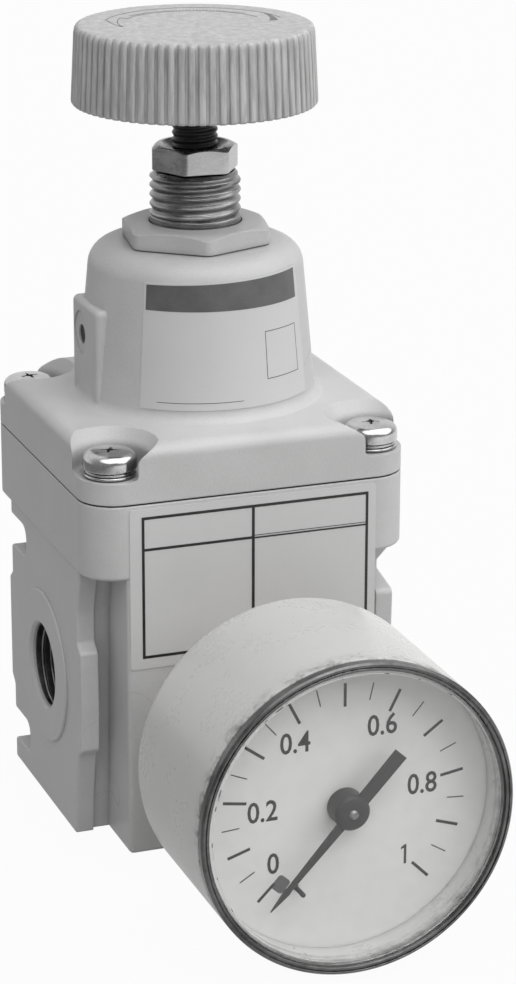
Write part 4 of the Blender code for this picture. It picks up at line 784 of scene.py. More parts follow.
def bonnet_shell():
    outline = rectangle(-BODY_HALF, BODY_HALF, -BODY_HALF, BODY_HALF, BODY_CORNER_R, 14)
    flange = slab("bonnet_shell", outline, BONNET_Z0 - SEAM_LIP, FLANGE_Z1, 0.15, 2.0, steps=6)
    cone_profile = filleted(
        [
            (0.0, BONNET_Z1),
            (cone_radius(BONNET_Z1), BONNET_Z1, 3.6),
            (CONE_FOOT_R, FLANGE_Z1 - 0.05, 1.9),
            (22.0, FLANGE_Z1 - 0.05),
            (22.0, FLANGE_Z1 - 2.0),
            (0.0, FLANGE_Z1 - 2.0),
        ],
        False,
        8,
    )
    cone = lathe("cone", cone_profile, 128)
    pad_outline = rectangle(-17.4, -12.0, -5.6, 6.3, 0.0)
    pad = slab("vent_pad", pad_outline, FLANGE_Z1 - 1.0, 82.0, 0.0, 0.9, sides_edge=0.9, steps=4)
    cuts = []
    for x, y in corner_places():
        top = FLANGE_Z1
        pocket = [
            (0.0, top + 1.0),
            (POCKET_R + 1.8, top + 1.0),
            (POCKET_R + 1.5, top + 0.05, 0.5),
            (POCKET_R, top - 2.0, 2.0),
            (POCKET_R, POCKET_Z, 0.8),
            (0.0, POCKET_Z),
        ]
        cuts.append(shift(lathe("pocket", filleted(pocket, False, 6), 64), x, y))
        cuts.append(between((x, y, BONNET_Z0 - 1.0), (x, y, POCKET_Z + 0.5), 2.2, 24))
    chamber = [(0.0, ROOF_Z), (12.2, ROOF_Z), (12.2, 66.3), (14.0, 64.5), (14.0, 57.7), (0.0, 57.7)]
    cuts.append(lathe("spring_chamber", chamber, 64))
    cuts.append(between((0, 0, ROOF_Z - 1.0), (0, 0, BONNET_Z1 + 1.0), NECK_R + 0.2, 64))
    cuts.append(between((-19.0, 2.0, 77.0), (-17.15, 2.0, 77.0), 3.3, 48))
    cuts.append(between((-18.0, 2.1, 76.7), (-9.0, 2.1, 76.7), 1.5, 32))
    mesh = carved(flange, [cone, pad], cuts)
    # A dark disc set into the vent hole stands for the shade inside it: painted shade.
    vent_shade = between((-16.9, 2.1, 76.7), (-16.4, 2.1, 76.7), 1.46, 32)
    piece("vent_screen", vent_shade, RUBBER)
    return piece("bonnet_shell", mesh, CAST_ENAMEL, nodes=["bonnet"])


# Stickers


def cone_sheet(name, angle0, angle1, z0, z1, lift, thick, columns=48, rows=12, rise=0.0):
    """A thin sheet that lies on the bonnet's cone, between two angles from the front and two heights.

    Its top edge ends higher by the rise.
    """
    verts = []
    for layer in (lift, lift + thick):
        for row in range(rows + 1):
            for column in range(columns + 1):
                angle = math.radians(angle0 + (angle1 - angle0) * column / columns)
                z = z0 + (z1 + rise * column / columns - z0) * row / rows
                reach = cone_radius(z) + layer
                verts.append((reach * math.sin(angle), -reach * math.cos(angle), z))
    wide = columns + 1
    size = wide * (rows + 1)
    faces = []
    for row in range(rows):
        for column in range(columns):
            a = row * wide + column
            faces.append((a, a + wide, a + wide + 1, a + 1))
            faces.append((size + a, size + a + 1, size + a + wide + 1, size + a + wide))
    rim = list(range(wide))
    rim += [row * wide + columns for row in range(1, rows + 1)]
    rim += [rows * wide + column for column in range(columns - 1, -1, -1)]
    rim += [row * wide for row in range(rows - 1, 0, -1)]
    for a, b in zip(rim, rim[1:] + rim[:1]):
        faces.append((a, b, size + b, size + a))
    return mesh_from(name, verts, faces)


def bonnet_label():
    sheet = cone_sheet("bonnet_label", -46.5, 46.5, 68.9, 87.4, -0.05, 0.13, rise=0.7)
    thin_layer("bonnet_label", sheet, LABEL_PAPER)
    band = cone_sheet("label_band", -45.3, 43.4, 83.4, 87.1, 0.07, 0.03, rise=0.7)
    thin_layer("label_band", band, GREY_INK)
    rules = [
        cone_sheet("rule", -38.0, 4.0, 69.95, 70.05, 0.07, 0.02),
        cone_sheet("rule", 18.0, 40.0, 72.6, 72.72, 0.07, 0.02),
        cone_sheet("rule", 18.0, 40.0, 79.6, 79.72, 0.07, 0.02),
        cone_sheet("rule", 17.6, 18.0, 72.6, 79.72, 0.07, 0.02, 2),
        cone_sheet("rule", 40.0, 40.4, 72.6, 79.72, 0.07, 0.02, 2),
    ]
    thin_layer("label_rules", joined_meshes(*rules), GREY_INK)


def front_bar(x0, x1, z0, z1, lift, thick, radius=0.0):
    """A thin flat shape on the body's front face, between two x and two heights."""
    flat = slab("bar", rectangle(x0, x1, z0, z1, radius, 6), lift, lift + thick)
    columns = Matrix(((1.0, 0.0, 0.0), (0.0, 0.0, -1.0), (0.0, 1.0, 0.0))).to_4x4()
    return moved(flat, Matrix.Translation((0.0, -BODY_HALF, 0.0)) @ columns)


def front_label():
    film = front_bar(-18.9, 19.2, 33.2, 57.7, -0.05, 0.15, 0.5)
    thin_layer("front_label", film, LABEL_PAPER)
    x0, x1, z0, z1, line = -17.1, 18.0, 34.8, 56.5, 0.42
    bars = [
        front_bar(x0, x1, z1 - line, z1, 0.10, 0.03),
        front_bar(x0, x1, z0, z0 + line, 0.10, 0.03),
        front_bar(x0, x0 + line, z0 + line, z1 - line, 0.10, 0.03),
        front_bar(x1 - line, x1, z0 + line, z1 - line, 0.10, 0.03),
        front_bar(-0.25, 0.2, z0 + line, z1 - line, 0.10, 0.03),
        front_bar(x0 + line, -0.25, 51.3, 51.7, 0.10, 0.03),
        front_bar(0.2, x1 - line, 51.3, 51.55, 0.10, 0.03),
        front_bar(0.2, x1 - line, 51.75, 51.85, 0.10, 0.03),
    ]
    thin_layer("label_frame", joined_meshes(*bars), INK)


# Repeats by Geometry Nodes


def repeat_tree(name, inputs):
    """An empty Geometry Nodes tree with number inputs, an Item and a Finish, and its end nodes."""
    tree = bpy.data.node_groups.new(name, "GeometryNodeTree")
    tree.interface.new_socket("Geometry", in_out="INPUT", socket_type="NodeSocketGeometry")
    tree.interface.new_socket("Item", in_out="INPUT", socket_type="NodeSocketObject")
    tree.interface.new_socket("Finish", in_out="INPUT", socket_type="NodeSocketMaterial")
    for socket, value in inputs.items():
        kind = "NodeSocketInt" if isinstance(value, int) else "NodeSocketFloat"
        made = tree.interface.new_socket(socket, in_out="INPUT", socket_type=kind)
        made.default_value = value
    tree.interface.new_socket("Geometry", in_out="OUTPUT", socket_type="NodeSocketGeometry")
    return tree, tree.nodes.new("NodeGroupInput"), tree.nodes.new("NodeGroupOutput")


def copies_on_points(tree, given, out, points, angle, merge=0.0):
    """Item on every point, turned about Z, then made real, merged if asked, painted and put out."""
    turn = add_node(tree, "ShaderNodeCombineXYZ", Z=angle)
    item = add_node(tree, "GeometryNodeObjectInfo", Object=given.outputs["Item"])
    copies = add_node(tree, "GeometryNodeInstanceOnPoints", Points=points, Rotation=turn.outputs["Vector"])
    feed(tree, copies.inputs["Instance"], item.outputs["Geometry"])
    real = add_node(tree, "GeometryNodeRealizeInstances", Geometry=copies.outputs["Instances"])
    last = real.outputs["Geometry"]
    if merge:
        joined = add_node(tree, "GeometryNodeMergeByDistance", Geometry=last, Distance=merge)
        last = joined.outputs["Geometry"]
    paint = add_node(tree, "GeometryNodeSetMaterial", Geometry=last, Material=given.outputs["Finish"])
    feed(tree, out.inputs["Geometry"], paint.outputs["Geometry"])


def round_ring_tree():
    """Count copies of Item round the Z axis, from First to First + Step x (Count - 1), in degrees."""
    tree, given, out = repeat_tree("copies_round_axis", {"Count": 12, "First": 0.0, "Step": 30.0})
    points = add_node(tree, "GeometryNodePoints", Count=given.outputs["Count"])
    index = tree.nodes.new("GeometryNodeInputIndex").outputs["Index"]
    turned = computed(tree, "MULTIPLY_ADD", index, given.outputs["Step"], given.outputs["First"])
    copies_on_points(tree, given, out, points.outputs[0], computed(tree, "RADIANS", turned), 0.0004)
    return tree


def corner_tree():
    """Item at the four corners of a rectangle, each turned by a random angle from a fixed seed."""
    sizes = {"Half width": 20.0, "Half depth": 20.0, "Most turn": 6.28, "Seed": 3}
    tree, given, out = repeat_tree("copies_at_corners", sizes)
    grid = add_node(tree, "GeometryNodeMeshGrid", Vertices_X=2, Vertices_Y=2)
    for socket, size in (("Size X", "Half width"), ("Size Y", "Half depth")):
        feed(tree, grid.inputs[socket], computed(tree, "MULTIPLY", given.outputs[size], 2.0))
    spin = add_node(tree, "FunctionNodeRandomValue", data_type="FLOAT", Seed=given.outputs["Seed"])
    most = [socket for socket in spin.inputs if socket.name == "Max" and socket.type == "VALUE"][0]
    feed(tree, most, given.outputs["Most turn"])
    angle = [socket for socket in spin.outputs if socket.type == "VALUE" and socket.enabled][0]
    copies_on_points(tree, given, out, grid.outputs["Mesh"], angle)
    return tree


def repeated(tree, item_mesh, material, **values):
    """The tree's result for this item, as one plain mesh."""
    item = scratch_object(item_mesh)
    holder = scratch_object(bpy.data.meshes.new("holder"))
    modifier = holder.modifiers.new("repeat", "NODES")
    modifier.node_group = tree
    given = {
        socket.name: socket.identifier for socket in tree.interface.items_tree if socket.in_out == "INPUT"
    }
    modifier[given["Item"]] = item
    modifier[given["Finish"]] = material
    for key, value in values.items():
        modifier[given[key.replace("_", " ")]] = value
    bpy.context.view_layer.update()
    graph = bpy.context.evaluated_depsgraph_get()
    mesh = bpy.data.meshes.new_from_object(holder.evaluated_get(graph))
    bpy.data.objects.remove(holder)
    bpy.data.objects.remove(item)
    return mesh


ROUND_COPIES = round_ring_tree()
CORNER_COPIES = corner_tree()


# Screws and nuts


def bonnet_screws():
    """Pan heads with a cross recess, each on a pair of washers."""
    under = POCKET_Z + 1.2
    top = under + 2.7
    head = filleted(
        [
            (0.0, top),
            (3.98, top - 0.30, 1.3),
            (3.98, under, 0.25),
            (2.0, under),
            (2.0, BODY_Z1 - 8.6),
            (1.4, BODY_Z1 - 9.2),
            (0.0, BODY_Z1 - 9.2),
        ],
        False,
        6,
    )
    slots = []
    for turn in (0.0, 90.0):
        arm = slab("slot", rectangle(-1.3, 1.3, -0.2, 0.2, 0.08, 3), top - 0.7, top + 1.0)
        slots.append(moved(arm, Matrix.Rotation(math.radians(turn), 4, "Z")))
    centre = [(0.0, top + 1.0), (0.7, top + 1.0), (0.5, top - 0.8), (0.0, top - 1.1)]
    slots.append(lathe("centre", centre, 24))
    screw = carved(lathe("screw", head, 64), cut=slots)
    screws = repeated(
        CORNER_COPIES, screw, CHROME, Half_width=SCREW_AT, Half_depth=SCREW_AT, Most_turn=1.5, Seed=4,
    )
    nodes = [f"bonnet_screw_{k}" for k in range(1, 5)]
    piece("bonnet_screws", screws, CHROME, nodes=nodes)
    rings = []
    for low, outer in ((POCKET_Z + 0.1, 3.85), (POCKET_Z + 0.62, 3.7)):
        ring = [(2.1, low, 0.1), (outer, low, 0.22), (outer, low + 0.48, 0.22), (2.1, low + 0.48, 0.1)]
        rings.append(lathe("washer", filleted(ring, True, 4), 64, ring=True))
    washers = repeated(
        CORNER_COPIES, joined_meshes(*rings), CHROME, Half_width=SCREW_AT, Half_depth=SCREW_AT,
        Most_turn=6.0, Seed=8
    )
    piece("washer_pairs", washers, CHROME, nodes=[f"spring_washer_{k}" for k in range(1, 5)])


def nut_mesh(across_flats, turn_deg, low, high, hole_r, corner_r, chamfer, dish=0.0):
    """A hexagon with rounded corners, its top turned to a chamfer and its hole countersunk."""
    body = slab("nut", hexagon(across_flats, turn_deg, corner_r), low, high, 0.15, 0.0, steps=3)
    flat = across_flats / 2.0
    reach = flat / math.cos(ROUND / 12.0) + 1.0
    profile = [
        (0.0, high + 2.0), (reach + 3.0, high + 2.0),
        (reach + 3.0, high - (reach + 3.0 - flat * 0.96) * chamfer),
    ]
    profile += [
        (flat * 0.96, high), (hole_r + 0.4 + dish, high), (hole_r - 0.05, high - 0.5 - dish * 0.5),
        (0.0, high - 0.5),
    ]
    ring = lathe("nut_top", profile, 96)
    bore = between((0, 0, low - 1.0), (0, 0, high + 1.0), hole_r, 64)
    return carved(body, cut=[ring, bore])


def panel_nut():
    mesh = nut_mesh(20.4, -9.0, 90.4, 93.3, 6.87, 1.7, 0.42, dish=-0.3)
    piece("panel_nut_cast", mesh, CAST_ENAMEL, nodes=["panel_nut"])


def threaded_neck():
    """The bushing: its flange under the bonnet's roof, the screwed neck and the bore."""
    neck = thread_wall("neck", NECK_R, 0.52, 1.4, 90.5, 100.55, 96, 12, 0.5, inner=3.5, foot=0.5)
    collar = filleted([(3.5, 84.0), (9.5, 84.0), (9.5, 86.1), (6.2, 86.1), (6.2, 90.4), (3.5, 90.4)], True)
    lip = filleted([(3.5, 100.55), (6.25, 100.55), (5.9, NECK_Z1, 0.1), (3.5, NECK_Z1)], True, 3)
    sleeve = filleted([(6.0, 90.5), (6.82, 90.5), (6.82, 94.2, 0.35), (6.0, 94.6)], True, 4)
    rings = [
        lathe(name, profile, 96, ring=True)
        for name, profile in (("collar", collar), ("lip", lip), ("sleeve", sleeve))
    ]
    mesh = joined_meshes(neck, *rings)
    piece(
        "threaded_neck", mesh, STREAKED_STEEL, nodes=["neck_bushing"], sharp_deg=55.0, even=False,
    )


def lock_nut():
    mesh = nut_mesh(11.65, -33.0, LOCK_NUT_Z0, LOCK_NUT_Z1, 3.5, 1.25, 0.55, dish=1.2)
    piece("lock_nut_steel", mesh, STEEL, body="lock_nut", nodes=["lock_nut"])


def spindle():
    thread = thread_wall("spindle", SPINDLE_R, 0.25, 1.0, 86.0, 119.6, 48, 8, 0.5, inner=0.4)
    core = filleted([(0.0, 85.0), (2.4, 85.0, 0.4), (2.7, 86.0), (0.0, 86.0)], False)
    mesh = joined_meshes(thread, lathe("tip", core, 32), between((0, 0, 86.0), (0, 0, 119.6), 0.4, 12))
    piece(
        "threaded_spindle", mesh, BLACK_OXIDE, "knob", ["adjusting_screw"], 55.0, even=False,
    )


# Knob


def knob_sector():
    """One rib's share of the knob, from the bore to the rib's crest, as a thin slice of surface."""
    half = ROUND / KNOB_RIBS / 2.0
    top = KNOB_Z1 - 0.03
    roof = KNOB_Z1 - 2.6
    inner = 14.9
    ridge = (
        (-1.0, 0.40), (-0.74, 0.36), (-0.60, 0.11), (-0.46, 0.02), (0.0, 0.0), (0.46, 0.02), (0.60, 0.11),
        (0.74, 0.36),
    )

    def outer(z):
        return 18.17 + (17.57 - 18.17) * (z - KNOB_Z0) / (KNOB_Z1 - KNOB_Z0)

    levels = [
        (KNOB_Z0, -0.25, 1.0), (KNOB_Z0 + 0.3, 0.0, 1.0), (KNOB_Z0 + 5.0, 0.0, 1.0),
        (KNOB_Z1 - 1.1, 0.0, 1.0),
    ]
    levels += [
        (top - 0.52, -0.08, 0.95), (top - 0.20, -0.25, 0.75), (top - 0.05, -0.50, 0.4), (top, -0.85, 0.0),
    ]
    columns = [share for share, _ in ridge] + [1.0]
    depths = [depth for _, depth in ridge] + [ridge[0][1]]
    rows = []
    for z, inset, ribbed in levels:
        rows.append(
            [(outer(z) + inset - depth * ribbed, share, z) for share, depth in zip(columns, depths)]
        )
    for reach in (12.0, 6.0, 0.0):
        rows.append([(reach, share, top) for share in columns])
    below = []
    for reach, z in (
        (inner, KNOB_Z0), (inner, roof), (6.2, roof), (6.2, KNOB_Z0 + 0.2), (3.45, KNOB_Z0 + 0.2),
        (3.45, roof), (0.0, roof),
    ):
        below.append([(reach, share, z) for share in columns])
    verts = []
    faces = []
    wide = len(columns)

    def lay(strips):
        start = len(verts)
        for strip in strips:
            for reach, share, z in strip:
                angle = share * half
                verts.append((reach * math.cos(angle), reach * math.sin(angle), z))
        for row in range(len(strips) - 1):
            for column in range(wide - 1):
                a = start + row * wide + column
                faces.append((a, a + 1, a + wide + 1, a + wide))

    lay(rows)
    lay([rows[0]] + below)
    mesh = bpy.data.meshes.new("knob_sector")
    mesh.from_pydata(verts, [], faces)
    return mesh


def closed_and_outward(mesh):
    """Doubles merged, small holes filled and faces turned outwards."""
    shape = bmesh.new()
    shape.from_mesh(mesh)
    bmesh.ops.remove_doubles(shape, verts=shape.verts, dist=0.001)
    open_edges = [edge for edge in shape.edges if edge.is_boundary]
    if open_edges:
        bmesh.ops.holes_fill(shape, edges=open_edges, sides=0)
    bmesh.ops.recalc_face_normals(shape, faces=shape.faces)
    shape.to_mesh(mesh)
    shape.free()
    return mesh


def ribbed_knob():
    ribs = repeated(
        ROUND_COPIES, knob_sector(), KNOB_PLASTIC, Count=KNOB_RIBS, First=0.0, Step=360.0 / KNOB_RIBS
    )
    closed_and_outward(ribs)
    web = slab("web", rectangle(6.0, 15.2, -0.6, 0.6), KNOB_Z0 + 3.0, KNOB_Z1 - 2.4)
    webs = repeated(ROUND_COPIES, web, KNOB_PLASTIC, Count=6, First=0.0, Step=60.0)
    mesh = joined_meshes(ribs, webs)
    piece("ribbed_knob", mesh, KNOB_PLASTIC, "knob", ["knob"], 40.0)


def polar(radius, angle_deg):
    angle = math.radians(angle_deg)
    return (radius * math.cos(angle), radius * math.sin(angle))


def arc_band(inner, outer, first, last, steps=40):
    """An outline between two radii, each a (first, last) pair, from the first angle to the last."""
    shares = [k / steps for k in range(steps + 1)]
    angles = [first + (last - first) * share for share in shares]
    rim = [polar(outer[0] + (outer[1] - outer[0]) * share, angle) for share, angle in zip(shares, angles)]
    back = [polar(inner[0] + (inner[1] - inner[0]) * share, angle) for share, angle in zip(shares, angles)]
    return rim + list(reversed(back))


def knob_arrow():
    """The curved arrow on the knob's top: two lines, ticks between them, a dark tail and an open head."""
    low, high = KNOB_Z1 - 0.06, KNOB_Z1
    outlines = [
        arc_band((13.5, 13.2), (13.65, 13.35), 2.0, 150.0),
        arc_band((10.6, 10.5), (10.72, 10.62), 10.0, 138.0),
        arc_band((13.3, 11.2), (13.6, 12.5), 20.0, -7.0, 20),
        arc_band((12.9, 10.7), (13.05, 10.9), 149.0, 176.0, 10),
        arc_band((10.6, 11.7), (10.75, 11.85), 176.0, 138.0, 10),
        [polar(11.75, 138.6), polar(10.6, 138.3), polar(10.6, 137.6), polar(11.75, 138.0)],
    ]
    arrow = [slab("arrow", outline, low, high) for outline in outlines]
    tick = slab("tick", rectangle(10.9, 11.6, -0.05, 0.05), low, high)
    ticks = repeated(ROUND_COPIES, tick, GREY_INK, Count=38, First=30.0, Step=2.6)
    piece("knob_arrow", joined_meshes(ticks, *arrow), GREY_INK, "knob", even=False)


# Gauge


def gauge_can():
    depth = CASE_FRONT - CASE_BACK
    outer = [(GAUGE_R, depth - 1.7, 0.2), (GAUGE_R, 0.0, 2.8), (6.6, 0.0), (6.6, 1.4), (21.0, 1.4, 1.0)]
    inner = [(21.0, depth - 7.2), (22.0, depth - 7.2), (22.0, depth - 1.7, 0.2)]
    mesh = lathe("can", filleted(outer + inner, True, 8), 160, ring=True)
    piece("gauge_can", on_dial(mesh, CASE_BACK), GAUGE_ENAMEL, nodes=["gauge_case"])
    front = depth
    bead = [
        (22.02, front - 1.65),
        (GAUGE_R - 0.12, front - 1.65, 0.1),
        (GAUGE_R, front - 1.2, 0.3),
        (GAUGE_R - 0.02, front - 0.35, 0.2),
        (GAUGE_R - 0.30, front, 0.2),
        (GAUGE_R - 0.55, front, 0.06),
        (GAUGE_R - 0.60, front - 0.28),
        (GAUGE_R - 0.76, front - 0.28),
        (GAUGE_R - 0.80, front - 0.04, 0.06),
        (GAUGE_R - 1.12, front - 0.04, 0.12),
        (GAUGE_R - 1.30, front - 0.42, 0.1),
        (GAUGE_R - 1.30, front - 0.75),
        (22.02, front - 0.75),
    ]
    ring = lathe("bezel", filleted(bead, True, 5), 160, ring=True)
    piece("bezel_ring", on_dial(ring, CASE_BACK), BEZEL_DARK)


def crystal():
    """The clear lens, flat with a step round its edge, and the pale ring that holds it off the dial."""
    profile = filleted(
        [(0.0, 66.75), (21.15, 66.75, 0.12), (21.3, 66.5, 0.1), (21.9, 66.5), (21.9, 65.2), (0.0, 65.2)],
        False, 4
    )
    mesh = lathe("crystal", profile, 128)
    piece(
        "crystal", on_dial(mesh, 0.0), CRYSTAL, nodes=["gauge_lens"], sharp_deg=35.0,
        even=False,
    )
    wall = [
        (21.9, 60.85), (21.2, 60.85, 0.1), (21.2, 63.9, 0.1), (21.45, 64.1, 0.1), (21.45, 65.1, 0.1),
        (21.9, 65.1),
    ]
    ring = lathe("spacer", filleted(wall, True, 3), 128, ring=True)
    piece("lens_spacer", on_dial(ring, 0.0), GAUGE_ENAMEL, even=False)


def dial_face():
    profile = filleted([(1.1, 60.3), (21.8, 60.3), (21.8, 60.8, 0.15), (1.1, 60.8)], True, 3)
    mesh = lathe("dial", profile, 128, ring=True)
    x = STOP_REACH * math.sin(math.radians(STOP_ANGLE_DEG))
    y = STOP_REACH * math.cos(math.radians(STOP_ANGLE_DEG))
    mesh = carved(mesh, cut=[between((x, y, 59.0), (x, y, 62.0), 0.6, 16)])
    piece("dial_face", on_dial(mesh, 0.0), DIAL_WHITE, nodes=["gauge_dial"], even=False)
    pin = lathe("pin", filleted([(0.0, 60.4), (0.35, 60.4), (0.35, 64.1, 0.12), (0.0, 64.1)], False, 3), 24)
    piece(
        "stop_post", on_dial(shift(pin, x, y), 0.0), BLACK_OXIDE, nodes=["stop_pin"],
        even=False,
    )


def dial_mark(length_from, length_to, width):
    return slab(
        "mark", rectangle(-width / 2.0, width / 2.0, length_from, length_to), DIAL_FRONT - 0.02,
        DIAL_FRONT + 0.03,
    )


def number_mesh(words, height, x, y):
    """A generic number on the dial, centred at (x, y), as a thin solid."""
    curve = bpy.data.curves.new("number", "FONT")
    curve.body = words
    curve.size = height * 1.38
    curve.align_x = "CENTER"
    curve.align_y = "CENTER"
    curve.extrude = 0.02
    curve.offset = 0.05
    curve.resolution_u = 3
    holder = bpy.data.objects.new("number", curve)
    bpy.context.scene.collection.objects.link(holder)
    bpy.context.view_layer.update()
    mesh = bpy.data.meshes.new_from_object(holder.evaluated_get(bpy.context.evaluated_depsgraph_get()))
    bpy.data.objects.remove(holder)
    mesh.transform(Matrix.Diagonal((0.86, 1.0, 1.0, 1.0)))
    return shift(mesh, x, y, DIAL_FRONT + 0.01)


def dial_print():
    long_mark = dial_mark(14.4, MARK_END_R, 0.42)
    short_mark = dial_mark(15.3, MARK_END_R, 0.16)
    between_deg = DIAL_START_DEG + DIAL_STEP_DEG / 2.0
    long_marks = repeated(ROUND_COPIES, long_mark, INK, Count=11, First=DIAL_START_DEG, Step=DIAL_STEP_DEG)
    short_marks = repeated(ROUND_COPIES, short_mark, INK, Count=10, First=between_deg, Step=DIAL_STEP_DEG)
    on_dial(long_marks, 0.0)
    on_dial(short_marks, 0.0)
    numbers = []
    places = (
        ("0", -125.4, 12.7), ("0.2", -87.3, 11.9), ("0.4", -35.8, 12.3), ("0.6", 26.8, 12.2),
        ("0.8", 83.3, 11.6),
    )
    for words, angle, reach in places:
        turn = math.radians(angle)
        numbers.append(number_mesh(words, 3.1, reach * math.sin(turn), reach * math.cos(turn)))
    one = [
        (0.24, -1.45), (0.24, 1.45), (0.02, 1.45), (-0.55, 1.05), (-0.55, 0.72), (-0.12, 0.95),
        (-0.12, -1.45),
    ]
    turn = math.radians(134.0)
    flat = slab("one", list(reversed(one)), DIAL_FRONT - 0.01, DIAL_FRONT + 0.03)
    numbers.append(shift(flat, 12.6 * math.sin(turn), 12.6 * math.cos(turn)))
    digits = on_dial(joined_meshes(*numbers), 0.0)
    mesh = joined_meshes(long_marks, short_marks, digits)
    thin_layer("dial_print", mesh, INK)
    block = slab("block", rectangle(-1.05, 1.05, 12.8, 15.1, 0.5, 4), DIAL_FRONT - 0.02, DIAL_FRONT + 0.02)
    moved(block, Matrix.Rotation(math.radians(138.5), 4, "Z"))
    thin_layer("zero_block", on_dial(block, 0.0), GREY_INK)


def needle():
    """The pointer: a slim tapered blade, a broad tail and a tall round hub with a bright centre."""
    outline = filleted(
        [
            (-1.05, -10.5),
            (1.05, -10.5),
            (0.95, -1.0),
            (0.66, 3.0),
            (0.36, 13.6),
            (0.50, 14.0),
            (0.0, 17.6),
            (-0.50, 14.0),
            (-0.36, 13.6),
            (-0.66, 3.0),
            (-0.95, -1.0),
        ],
        True,
        2,
    )
    blade = slab("needle", outline, 2.8, 3.2, 0.0, 0.1, steps=2)
    moved(blade, Matrix.Rotation(-math.radians(POINTER_ANGLE), 4, "Z"))
    hub_profile = [
        (0.0, 3.6), (1.5, 3.6, 0.2), (2.25, 3.45, 0.4), (2.6, 3.0, 0.3), (2.6, 0.2), (0.85, 0.2),
        (0.85, 2.7), (0.0, 2.7),
    ]
    hub = lathe("hub", filleted(hub_profile, False, 4), 64)
    mesh = carved(hub, [blade])
    piece(
        "needle", on_dial(mesh, DIAL_FRONT), NEEDLE_BLACK, "pointer", ["pointer"], 35.0,
        even=False,
    )
    cap_profile = filleted([(0.0, 4.05), (0.5, 4.0, 0.3), (0.75, 3.62), (0.0, 3.62)], False, 4)
    cap = lathe("cap", cap_profile, 32)
    piece(
        "hub_centre", on_dial(cap, DIAL_FRONT), STEEL, "pointer", sharp_deg=40.0, even=False,
    )


# Build

body_shell()
port_threads()
bonnet_shell()
bonnet_label()
front_label()
bonnet_screws()
panel_nut()
threaded_neck()
lock_nut()
spindle()
ribbed_knob()
knob_arrow()
gauge_can()
crystal()
dial_face()
dial_print()
needle()

SLOT_FINISH = {
    "casting_paint": CAST_ENAMEL,
    "gauge_paint": GAUGE_ENAMEL,
    "knob_plastic": KNOB_PLASTIC,
    "steel": STEEL,
    "chrome": CHROME,
    "black_steel": BLACK_OXIDE,
    "aluminium": ALUMINIUM,
    "brass": BRASS,
    "rubber": RUBBER,
    "dial_paint": DIAL_WHITE,
    "black_paint": NEEDLE_BLACK,
    "clear": CRYSTAL,
}
for entry in frame["record"]["subparts"]:
    node = frame["nodes"][entry["node"]]
    for place in node.material_slots:
        place.material = SLOT_FINISH[entry["material_slot"]]


# Floor, light and camera


def floor():
    mesh = bpy.data.meshes.new("floor")
    shape = bmesh.new()
    drop = Matrix.Translation((0.0, 0.0, -FLOOR_DROP))
    bmesh.ops.create_grid(shape, x_segments=1, y_segments=1, size=FLOOR_HALF, matrix=drop)
    shape.to_mesh(mesh)
    shape.free()
    made = bpy.data.objects.new("floor", mesh)
    bpy.context.scene.collection.objects.link(made)
    material = bpy.data.materials.new("floor_white")
    material.use_nodes = True
    tree = material.node_tree
    shader = tree.nodes["Principled BSDF"]
    shader.inputs["Base Color"].default_value = grey(FLOOR_GREY)
    shader.inputs["Roughness"].default_value = 0.7
    shader.inputs["Specular IOR Level"].default_value = 0.1
    white = add_node(tree, "ShaderNodeEmission", Strength=1.0)
    path = add_node(tree, "ShaderNodeLightPath")
    # What bare metal mirrors: dim on the left, pale on the right.
    place = add_node(tree, "ShaderNodeTexCoord")
    sides = add_node(tree, "ShaderNodeSeparateXYZ", Vector=place.outputs["Object"])
    across = ranged(tree, sides.outputs["X"], -0.20, 0.12, 0.22, 0.95, "SMOOTHSTEP")
    mirrored = add_node(tree, "ShaderNodeEmission", Strength=across).outputs["Emission"]
    glossy = mixed_shaders(tree, path.outputs["Is Glossy Ray"], shader.outputs["BSDF"], mirrored)
    share = computed(tree, "MULTIPLY", path.outputs["Is Camera Ray"], FLOOR_WHITE_SHARE)
    shown = mixed_shaders(tree, share, glossy, white.outputs["Emission"])
    feed(tree, tree.nodes["Material Output"].inputs["Surface"], shown)
    mesh.materials.append(material)


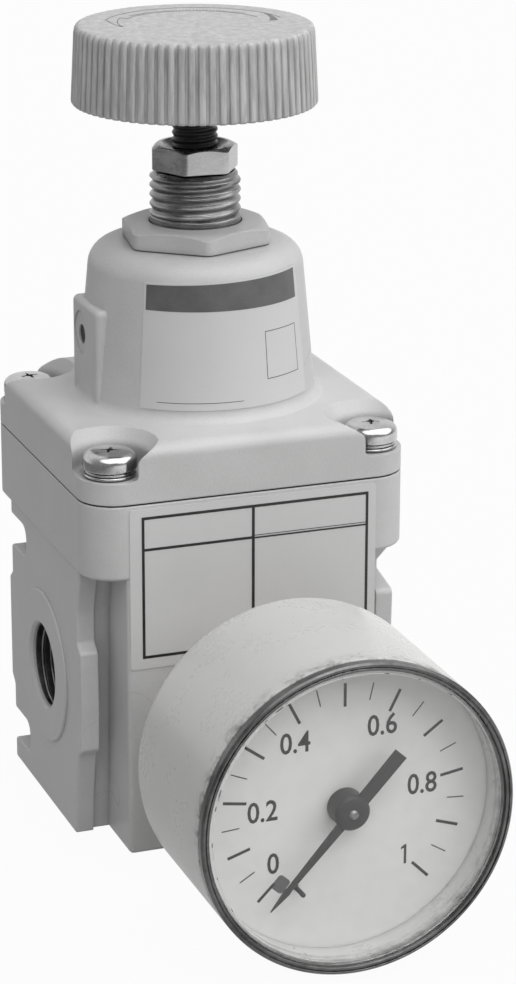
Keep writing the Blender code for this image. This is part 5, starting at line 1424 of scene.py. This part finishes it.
def world():
    made = bpy.data.worlds.new("studio")
    bpy.context.scene.world = made
    made.use_nodes = True
    tree = made.node_tree
    back = tree.nodes["Background"]
    back.inputs["Color"].default_value = grey(1.0)
    path = add_node(tree, "ShaderNodeLightPath")
    # In mirrors the backdrop behind the object is pale and the room in front of it is dim.
    place = add_node(tree, "ShaderNodeTexCoord")
    sides = add_node(tree, "ShaderNodeSeparateXYZ", Vector=place.outputs["Generated"])
    behind = ranged(tree, sides.outputs["Y"], -0.2, 0.6, ROOM_LIGHT, BACKDROP_IN_MIRROR, "SMOOTHSTEP")
    mirrored = ranged(tree, path.outputs["Is Glossy Ray"], 0.0, 1.0, ROOM_LIGHT, behind)
    shown = computed(tree, "MAXIMUM", path.outputs["Is Camera Ray"], path.outputs["Is Transmission Ray"])
    feed(tree, back.inputs["Strength"], ranged(tree, shown, 0.0, 1.0, mirrored, 1.0))


def soft_sun(name, azimuth_deg, elevation_deg, strength, spread_deg):
    """A broad far light. Its azimuth is from straight in front, towards the right."""
    light = bpy.data.lights.new(name, "SUN")
    light.energy = strength
    light.angle = math.radians(spread_deg)
    made = bpy.data.objects.new(name, light)
    azimuth = math.radians(azimuth_deg)
    elevation = math.radians(elevation_deg)
    level = math.cos(elevation)
    source = Vector((math.sin(azimuth) * level, -math.cos(azimuth) * level, math.sin(elevation)))
    made.rotation_euler = (-source).to_track_quat("-Z", "Y").to_euler()
    bpy.context.scene.collection.objects.link(made)


def camera():
    lens = bpy.data.cameras.new("photo_camera")
    lens.lens = LENS_MM
    lens.sensor_width = 36.0
    lens.sensor_fit = "AUTO"
    lens.shift_x, lens.shift_y = LENS_SHIFT
    lens.clip_start = 0.01
    made = bpy.data.objects.new("photo_camera", lens)
    azimuth = math.radians(CAMERA_AZIMUTH_DEG)
    elevation = math.radians(CAMERA_ELEVATION_DEG)
    roll = math.radians(CAMERA_ROLL_DEG)
    level = math.cos(elevation)
    back = Vector((math.sin(azimuth) * level, -math.cos(azimuth) * level, math.sin(elevation)))
    right = (-back).cross(Vector((0.0, 0.0, 1.0))).normalized()
    up = right.cross(-back)
    right_rolled = right * math.cos(roll) + up * math.sin(roll)
    up_rolled = up * math.cos(roll) - right * math.sin(roll)
    turn = Matrix((right_rolled, up_rolled, back)).transposed().to_4x4()
    made.matrix_world = Matrix.Translation(CAMERA_PLACE) @ turn
    bpy.context.scene.collection.objects.link(made)
    bpy.context.scene.camera = made


floor()
world()
soft_sun("key", 58.0, 50.0, 1.85, 75.0)
soft_sun("overhead", -15.0, 60.0, 1.2, 60.0)
camera()
bpy.context.scene.view_settings.view_transform = "Standard"
